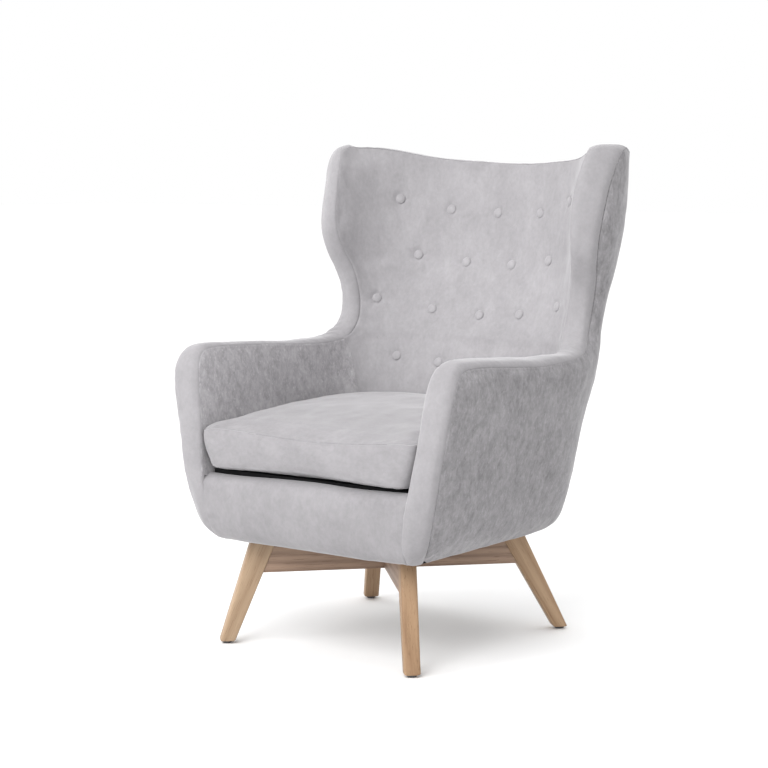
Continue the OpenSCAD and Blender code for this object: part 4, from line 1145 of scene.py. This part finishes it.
# ---------------------------------------------------------------------------
# base: rounded legs and eased beams
# ---------------------------------------------------------------------------
BEAM_A = math.radians(46.9)
BEAM_Z, BEAM_H, LEG_T, FOOT_W = .145, .072, .032, .030
INNER_R, GLIDE_H = .2665, .005
BEAM_TOP = BEAM_Z + BEAM_H


def add_grain(ob, coords):
    at = ob.data.attributes.new("grain", "FLOAT_VECTOR", "POINT")
    at.data.foreach_set("vector", np.asarray(coords, float).ravel())


def leg(name, ang, si, so, seed):
    r0 = INNER_R + si * (.145 - GLIDE_H)
    zz = np.concatenate([[GLIDE_H, GLIDE_H + .0012, GLIDE_H + .003], np.linspace(GLIDE_H + .008, BEAM_TOP - .004, 30), [BEAM_TOP - .0012, BEAM_TOP]])
    prof = []
    for z in zz:
        ra = INNER_R + si * (.145 - z)
        rb = r0 + FOOT_W - so * (z - GLIDE_H)
        shrink = .0030 * (1 - math.sin(math.acos(max(0, 1 - (z - GLIDE_H) / .003)))) if z < GLIDE_H + .003 else 0.0
        if z > BEAM_TOP - .0013:
            shrink = .0006
        prof.append((z, ra + shrink, rb - shrink, LEG_T / 2 - shrink))
    verts, gr = [], []
    rad_o, rad_i, k = .0062, .0030, 7
    for z, ra, rb, h in prof:
        ring = []
        for cx, cy, rr, a0 in ((rb, h, rad_o, 0), (ra, h, rad_i, 90), (ra, -h, rad_i, 180), (rb, -h, rad_o, 270)):
            for j in range(k + 1):
                th = math.radians(a0 + 90 * j / k)
                sx, sy = (1 if cx == rb else -1), (1 if cy > 0 else -1)
                ring.append((cx - sx * rr + rr * math.cos(th), cy - sy * rr + rr * math.sin(th)))
        for x, y in ring:
            verts.append((x, y, z))
            gr.append((z, (x - ra) * 1.0 + .01 * seed, y + .13 * seed))
    n = 4 * (k + 1)
    faces = []
    for i in range(len(prof) - 1):
        for j in range(n):
            faces.append((i * n + j, i * n + (j + 1) % n, (i + 1) * n + (j + 1) % n, (i + 1) * n + j))
    faces.append(tuple(range(n - 1, -1, -1)))
    faces.append(tuple((len(prof) - 1) * n + j for j in range(n)))
    v = np.array(verts)
    c, s = math.cos(ang), math.sin(ang)
    w = np.stack([v[:, 0] * c - v[:, 1] * s, v[:, 0] * s + v[:, 1] * c + Y0, v[:, 2]], 1)
    ob = new_object(name, w, faces, OAK[name.replace("rounded_", "")], sharp=35)
    add_grain(ob, gr)
    return ob


def eased_copy(node, name, mat, width=.0012):
    """Copy of a wooden CAD node with its sharp edges eased."""
    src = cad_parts[node]
    me = src.data.copy()
    me.name = name
    ob = bpy.data.objects.new(name, me)
    scene.collection.objects.link(ob)
    bm = bmesh.new()
    bm.from_mesh(me)
    bmesh.ops.remove_doubles(bm, verts=bm.verts, dist=1e-6)
    bmesh.ops.dissolve_limit(bm, angle_limit=math.radians(1), verts=bm.verts, edges=bm.edges)
    edges = [e for e in bm.edges if len(e.link_faces) == 2 and e.calc_length() > .012 and e.calc_face_angle(0) > math.radians(40)]
    bmesh.ops.bevel(bm, geom=edges, offset=width, segments=2, profile=.7, affect="EDGES", clamp_overlap=True)
    bmesh.ops.triangulate(bm, faces=[f for f in bm.faces if len(f.verts) > 4])
    bm.to_mesh(me)
    bm.free()
    me.materials.clear()
    me.materials.append(mat)
    me.polygons.foreach_set("use_smooth", np.ones(len(me.polygons), dtype=bool))
    me.set_sharp_from_angle(angle=math.radians(35))
    return ob


def world_co(ob):
    co = np.empty(len(ob.data.vertices) * 3)
    ob.data.vertices.foreach_get("co", co)
    return co.reshape(-1, 3)


# ---------------------------------------------------------------------------
# build
# ---------------------------------------------------------------------------
side_l = outer_side()
side_r = mirrored(side_l, "side_panel_right")
band_o = band()
back_i = inner_back()
btn = buttons()
tie = ties()
arm_l = inner_arm()
arm_r = mirrored(arm_l, "inner_arm_panel_right")
rail = front_rail()
back_o = outer_back()
TOP_UP = mm([[-400, 0], [-330, 0], [-305, 1.5], [-285, 6], [-265, 8.2], [-240, 7.3], [-210, 5.2], [-180, 3.1], [-145, 2.8], [-100, 3.5], [-50, 3], [0, 1], [50, -1], [105, -2.4],
             [150, -1.2], [205, -.3], [245, .6], [270, 1.6], [300, 1], [330, 0], [400, 0]])
# the padding of the top edge stands a little higher beside the right wing than beside the left
for o in (band_o, back_i, back_o):
    co = np.empty(len(o.data.vertices) * 3)
    o.data.vertices.foreach_get("co", co)
    co = co.reshape(-1, 3)
    up = .0052 * np.exp(-((co[:, 0] + .215) / .085) ** 2) - .0058 * np.exp(-((co[:, 0] - .235) / .085) ** 2)
    up += look(co[:, 0], TOP_UP)
    co[:, 2] += up * smooth((co[:, 2] - .87) / .10)
    o.data.vertices.foreach_set("co", co.ravel())
    o.data.update()
# the upper rear corners are rounded off
for o in (side_l, side_r, band_o, back_i, back_o):
    co = np.empty(len(o.data.vertices) * 3)
    o.data.vertices.foreach_get("co", co)
    co = co.reshape(-1, 3)
    near = np.exp(-(((np.abs(co[:, 0]) - .352) ** 2 + (co[:, 1] - Y0 - .374) ** 2) / .034 ** 2)) * smooth((co[:, 2] - .90) / .09)
    co[:, 2] -= .0060 * near
    co[:, 0] -= np.sign(co[:, 0]) * .0060 * near
    o.data.vertices.foreach_set("co", co.ravel())
    o.data.update()
deck_o, deck_ring = deck()
dust_o, dust_ring = dust()
cush = cushion()
teeth = zip_teeth()

legs = []
for nm, ang, si, so, sd in (("leg_front_left", -BEAM_A, .42, .315, 1), ("leg_front_right", math.pi + BEAM_A, .42, .315, 2),
                            ("leg_rear_left", BEAM_A, .58, .475, 3), ("leg_rear_right", math.pi - BEAM_A, .58, .475, 4)):
    o = leg("rounded_" + nm, ang, si, so, sd)
    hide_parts(nm)
    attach(o, "chair")
    legs.append(o)
for nm, ang, sd in (("cross_beam_lower", BEAM_A, 5), ("cross_beam_upper", math.pi - BEAM_A, 6)):
    o = eased_copy(nm, "eased_" + nm, M_BEAM)
    co = world_co(o)
    c, s = math.cos(ang), math.sin(ang)
    x, y = co[:, 0], co[:, 1] - Y0
    add_grain(o, np.stack([x * c + y * s, co[:, 2] + .2 * sd, -x * s + y * c], 1))
    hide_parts(nm)
    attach(o, "chair")

for o, nodes, fill in ((side_l, ["outer_side_cover_left"], .95), (side_r, ["outer_side_cover_right"], .95),
                       (band_o, ["facing_band_left", "facing_band_right", "top_band", "edge_pad_left", "edge_pad_right", "top_edge_pad"], .9),
                       (back_i, ["inner_back_cover", "back_pad"], .85), (arm_l, ["inner_arm_cover_left"], .9), (arm_r, ["inner_arm_cover_right"], .9),
                       (rail, ["front_rail_cover", "front_pad"], .9), (back_o, ["outer_back_cover"], .95)):
    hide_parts(*nodes)
    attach(o, "chair")
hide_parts("back_buttons")
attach(btn, "chair")
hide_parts("button_ties")
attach(tie, "chair")
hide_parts("cushion_cover", "cushion_core")
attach(cush, "seat_cushion")
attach(teeth, "seat_cushion")


def declare_sheet(ob, node):
    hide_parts(node)
    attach(ob, "chair")


declare_sheet(deck_o, "deck_cloth")
declare_sheet(dust_o, "dust_cover")

# ---------------------------------------------------------------------------
# finishes of the CAD nodes that stay
# ---------------------------------------------------------------------------
F = {
    "frame": plain("pine_frame", (.46, .33, .19), (.66, .52, .33), 14, rough=.7, stretch=(1, 1, 5), bump=.25, detail=5),
    "beech": plain("beech_pin", (.52, .38, .24), (.66, .51, .35), 60, rough=.6),
    "steel": plain("zinc_steel", (.42, .42, .44), (.62, .62, .64), 240, rough=.38, metallic=1.0, bump=.12),
    "spring": plain("spring_steel", (.16, .16, .17), (.34, .34, .35), 200, rough=.42, metallic=1.0, bump=.12),
    "web": woven("jute_web", (.20, .15, .09), (.42, .34, .22), pitch=.0024),
    "foam": plain("foam", (.66, .61, .42), (.80, .76, .58), 700, rough=.95, bump=.6, dist=.0008),
    "glide": plain("glide_plastic", (.030, .030, .032), (.075, .075, .08), 260, rough=.5, bump=.15),
    "tape": woven("zip_tape_weave", (.30, .29, .30), (.46, .45, .46), pitch=.0007),
    "zipm": plain("zip_slider_metal", (.50, .50, .52), (.72, .72, .74), 400, rough=.28, metallic=1.0, bump=.08),
}
for node, key in (
    [(n, "frame") for n in ("front_rail", "rear_rail", "side_rail_left", "side_rail_right", "corner_blocks", "base_cleats", "arm_post_left", "arm_post_right",
                            "arm_board_left", "arm_board_right", "back_post_left", "back_post_right", "back_top_rail", "back_tack_rail",
                            "wing_board_left", "wing_board_right", "wing_stays")]
    + [(n, "foam") for n in ("deck_pad", "arm_pad_left", "arm_pad_right", "edge_pad_left", "edge_pad_right", "top_edge_pad", "back_pad", "front_pad", "cushion_core")]
    + [("leg_dowels", "beech"), ("floor_glides", "glide"), ("glide_nails", "steel"), ("base_bolts", "steel"), ("base_washers", "steel"), ("base_tee_nuts", "steel"),
       ("seat_springs", "spring"), ("spring_clips", "steel"), ("back_webbing", "web"), ("zip_tape", "tape"), ("zip_slider", "zipm")]):
    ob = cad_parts[node]
    if not ob.material_slots:
        ob.data.materials.append(None)
    for sl in ob.material_slots:
        sl.link = "OBJECT"
        sl.material = F[key]

# ---------------------------------------------------------------------------
# floor, light and camera
# ---------------------------------------------------------------------------
fl = Nodes("floor_paper")
fn = fl.noise(fl.coords((1, 1, 1)), 3, 2)
fl.link(fl.ramp(fn, [(.3, (.86, .86, .86)), (.7, (.88, .88, .88))]), fl.bsdf.inputs["Base Color"])
fl.set(Roughness=.9, Specular_IOR_Level=.1)
floor = new_object("floor", [(-30, -30, 0), (30, -30, 0), (30, 30, 0), (-30, 30, 0)], [(0, 1, 2, 3)], fl.mat, sharp=0)

world = bpy.data.worlds.new("studio")
scene.world = world
world.use_nodes = True
bg = world.node_tree.nodes["Background"]
bg.inputs[0].default_value = (1, 1, 1, 1)
bg.inputs[1].default_value = 1.0


def area(name, loc, target, size, power, color=(1, 1, 1)):
    d = bpy.data.lights.new(name, "AREA")
    d.shape = "DISK"
    d.size = size
    d.energy = power
    d.color = color
    o = bpy.data.objects.new(name, d)
    o.location = loc
    o.rotation_euler = (Vector(target) - Vector(loc)).to_track_quat("-Z", "Y").to_euler()
    scene.collection.objects.link(o)
    return o


area("key", (-1.7, -3.3, 1.8), (0, 0, .66), 2.0, 50)
area("left", (-3.2, .2, 1.5), (0, 0, .6), 1.6, 26)
area("boom", (.5, -2.6, 2.5), (0, 0, .5), 2.2, 75)
beam_d = bpy.data.lights.new("inside", "SPOT")
beam_d.energy = 360
beam_d.spot_size = math.radians(11)
beam_d.spot_blend = 1.0
beam_d.shadow_soft_size = .35
beam = bpy.data.objects.new("inside", beam_d)
beam.location = (-.9, -3.0, 2.0)
beam.rotation_euler = (Vector((.09, .20, .63)) - Vector((-.9, -3.0, 2.0))).to_track_quat("-Z", "Y").to_euler()
scene.collection.objects.link(beam)

sun_d = bpy.data.lights.new("sky", "SUN")
sun_d.energy = .9
sun_d.angle = math.radians(75)
sun = bpy.data.objects.new("sky", sun_d)
sun.rotation_euler = (math.radians(-18), math.radians(-14), 0)
sun.location = (0, 0, 4)
scene.collection.objects.link(sun)

cam_d = bpy.data.cameras.new("cam")
cam_d.sensor_width = 36
cam_d.lens = 93.75
cam_d.clip_end = 200
cam = bpy.data.objects.new("cam", cam_d)
az, pitch = math.radians(36.35), math.radians(6.37)
back = Vector((math.sin(az) * math.cos(pitch), -math.cos(az) * math.cos(pitch), math.sin(pitch)))
cam.location = (2.404, -3.3693, .980)
cam.rotation_euler = (-back).to_track_quat("-Z", "Y").to_euler()
scene.collection.objects.link(cam)
scene.camera = cam
scene.view_settings.view_transform = "Standard"
scene.view_settings.look = "None"
scene.view_settings.exposure = 0
scene.view_settings.gamma = 1
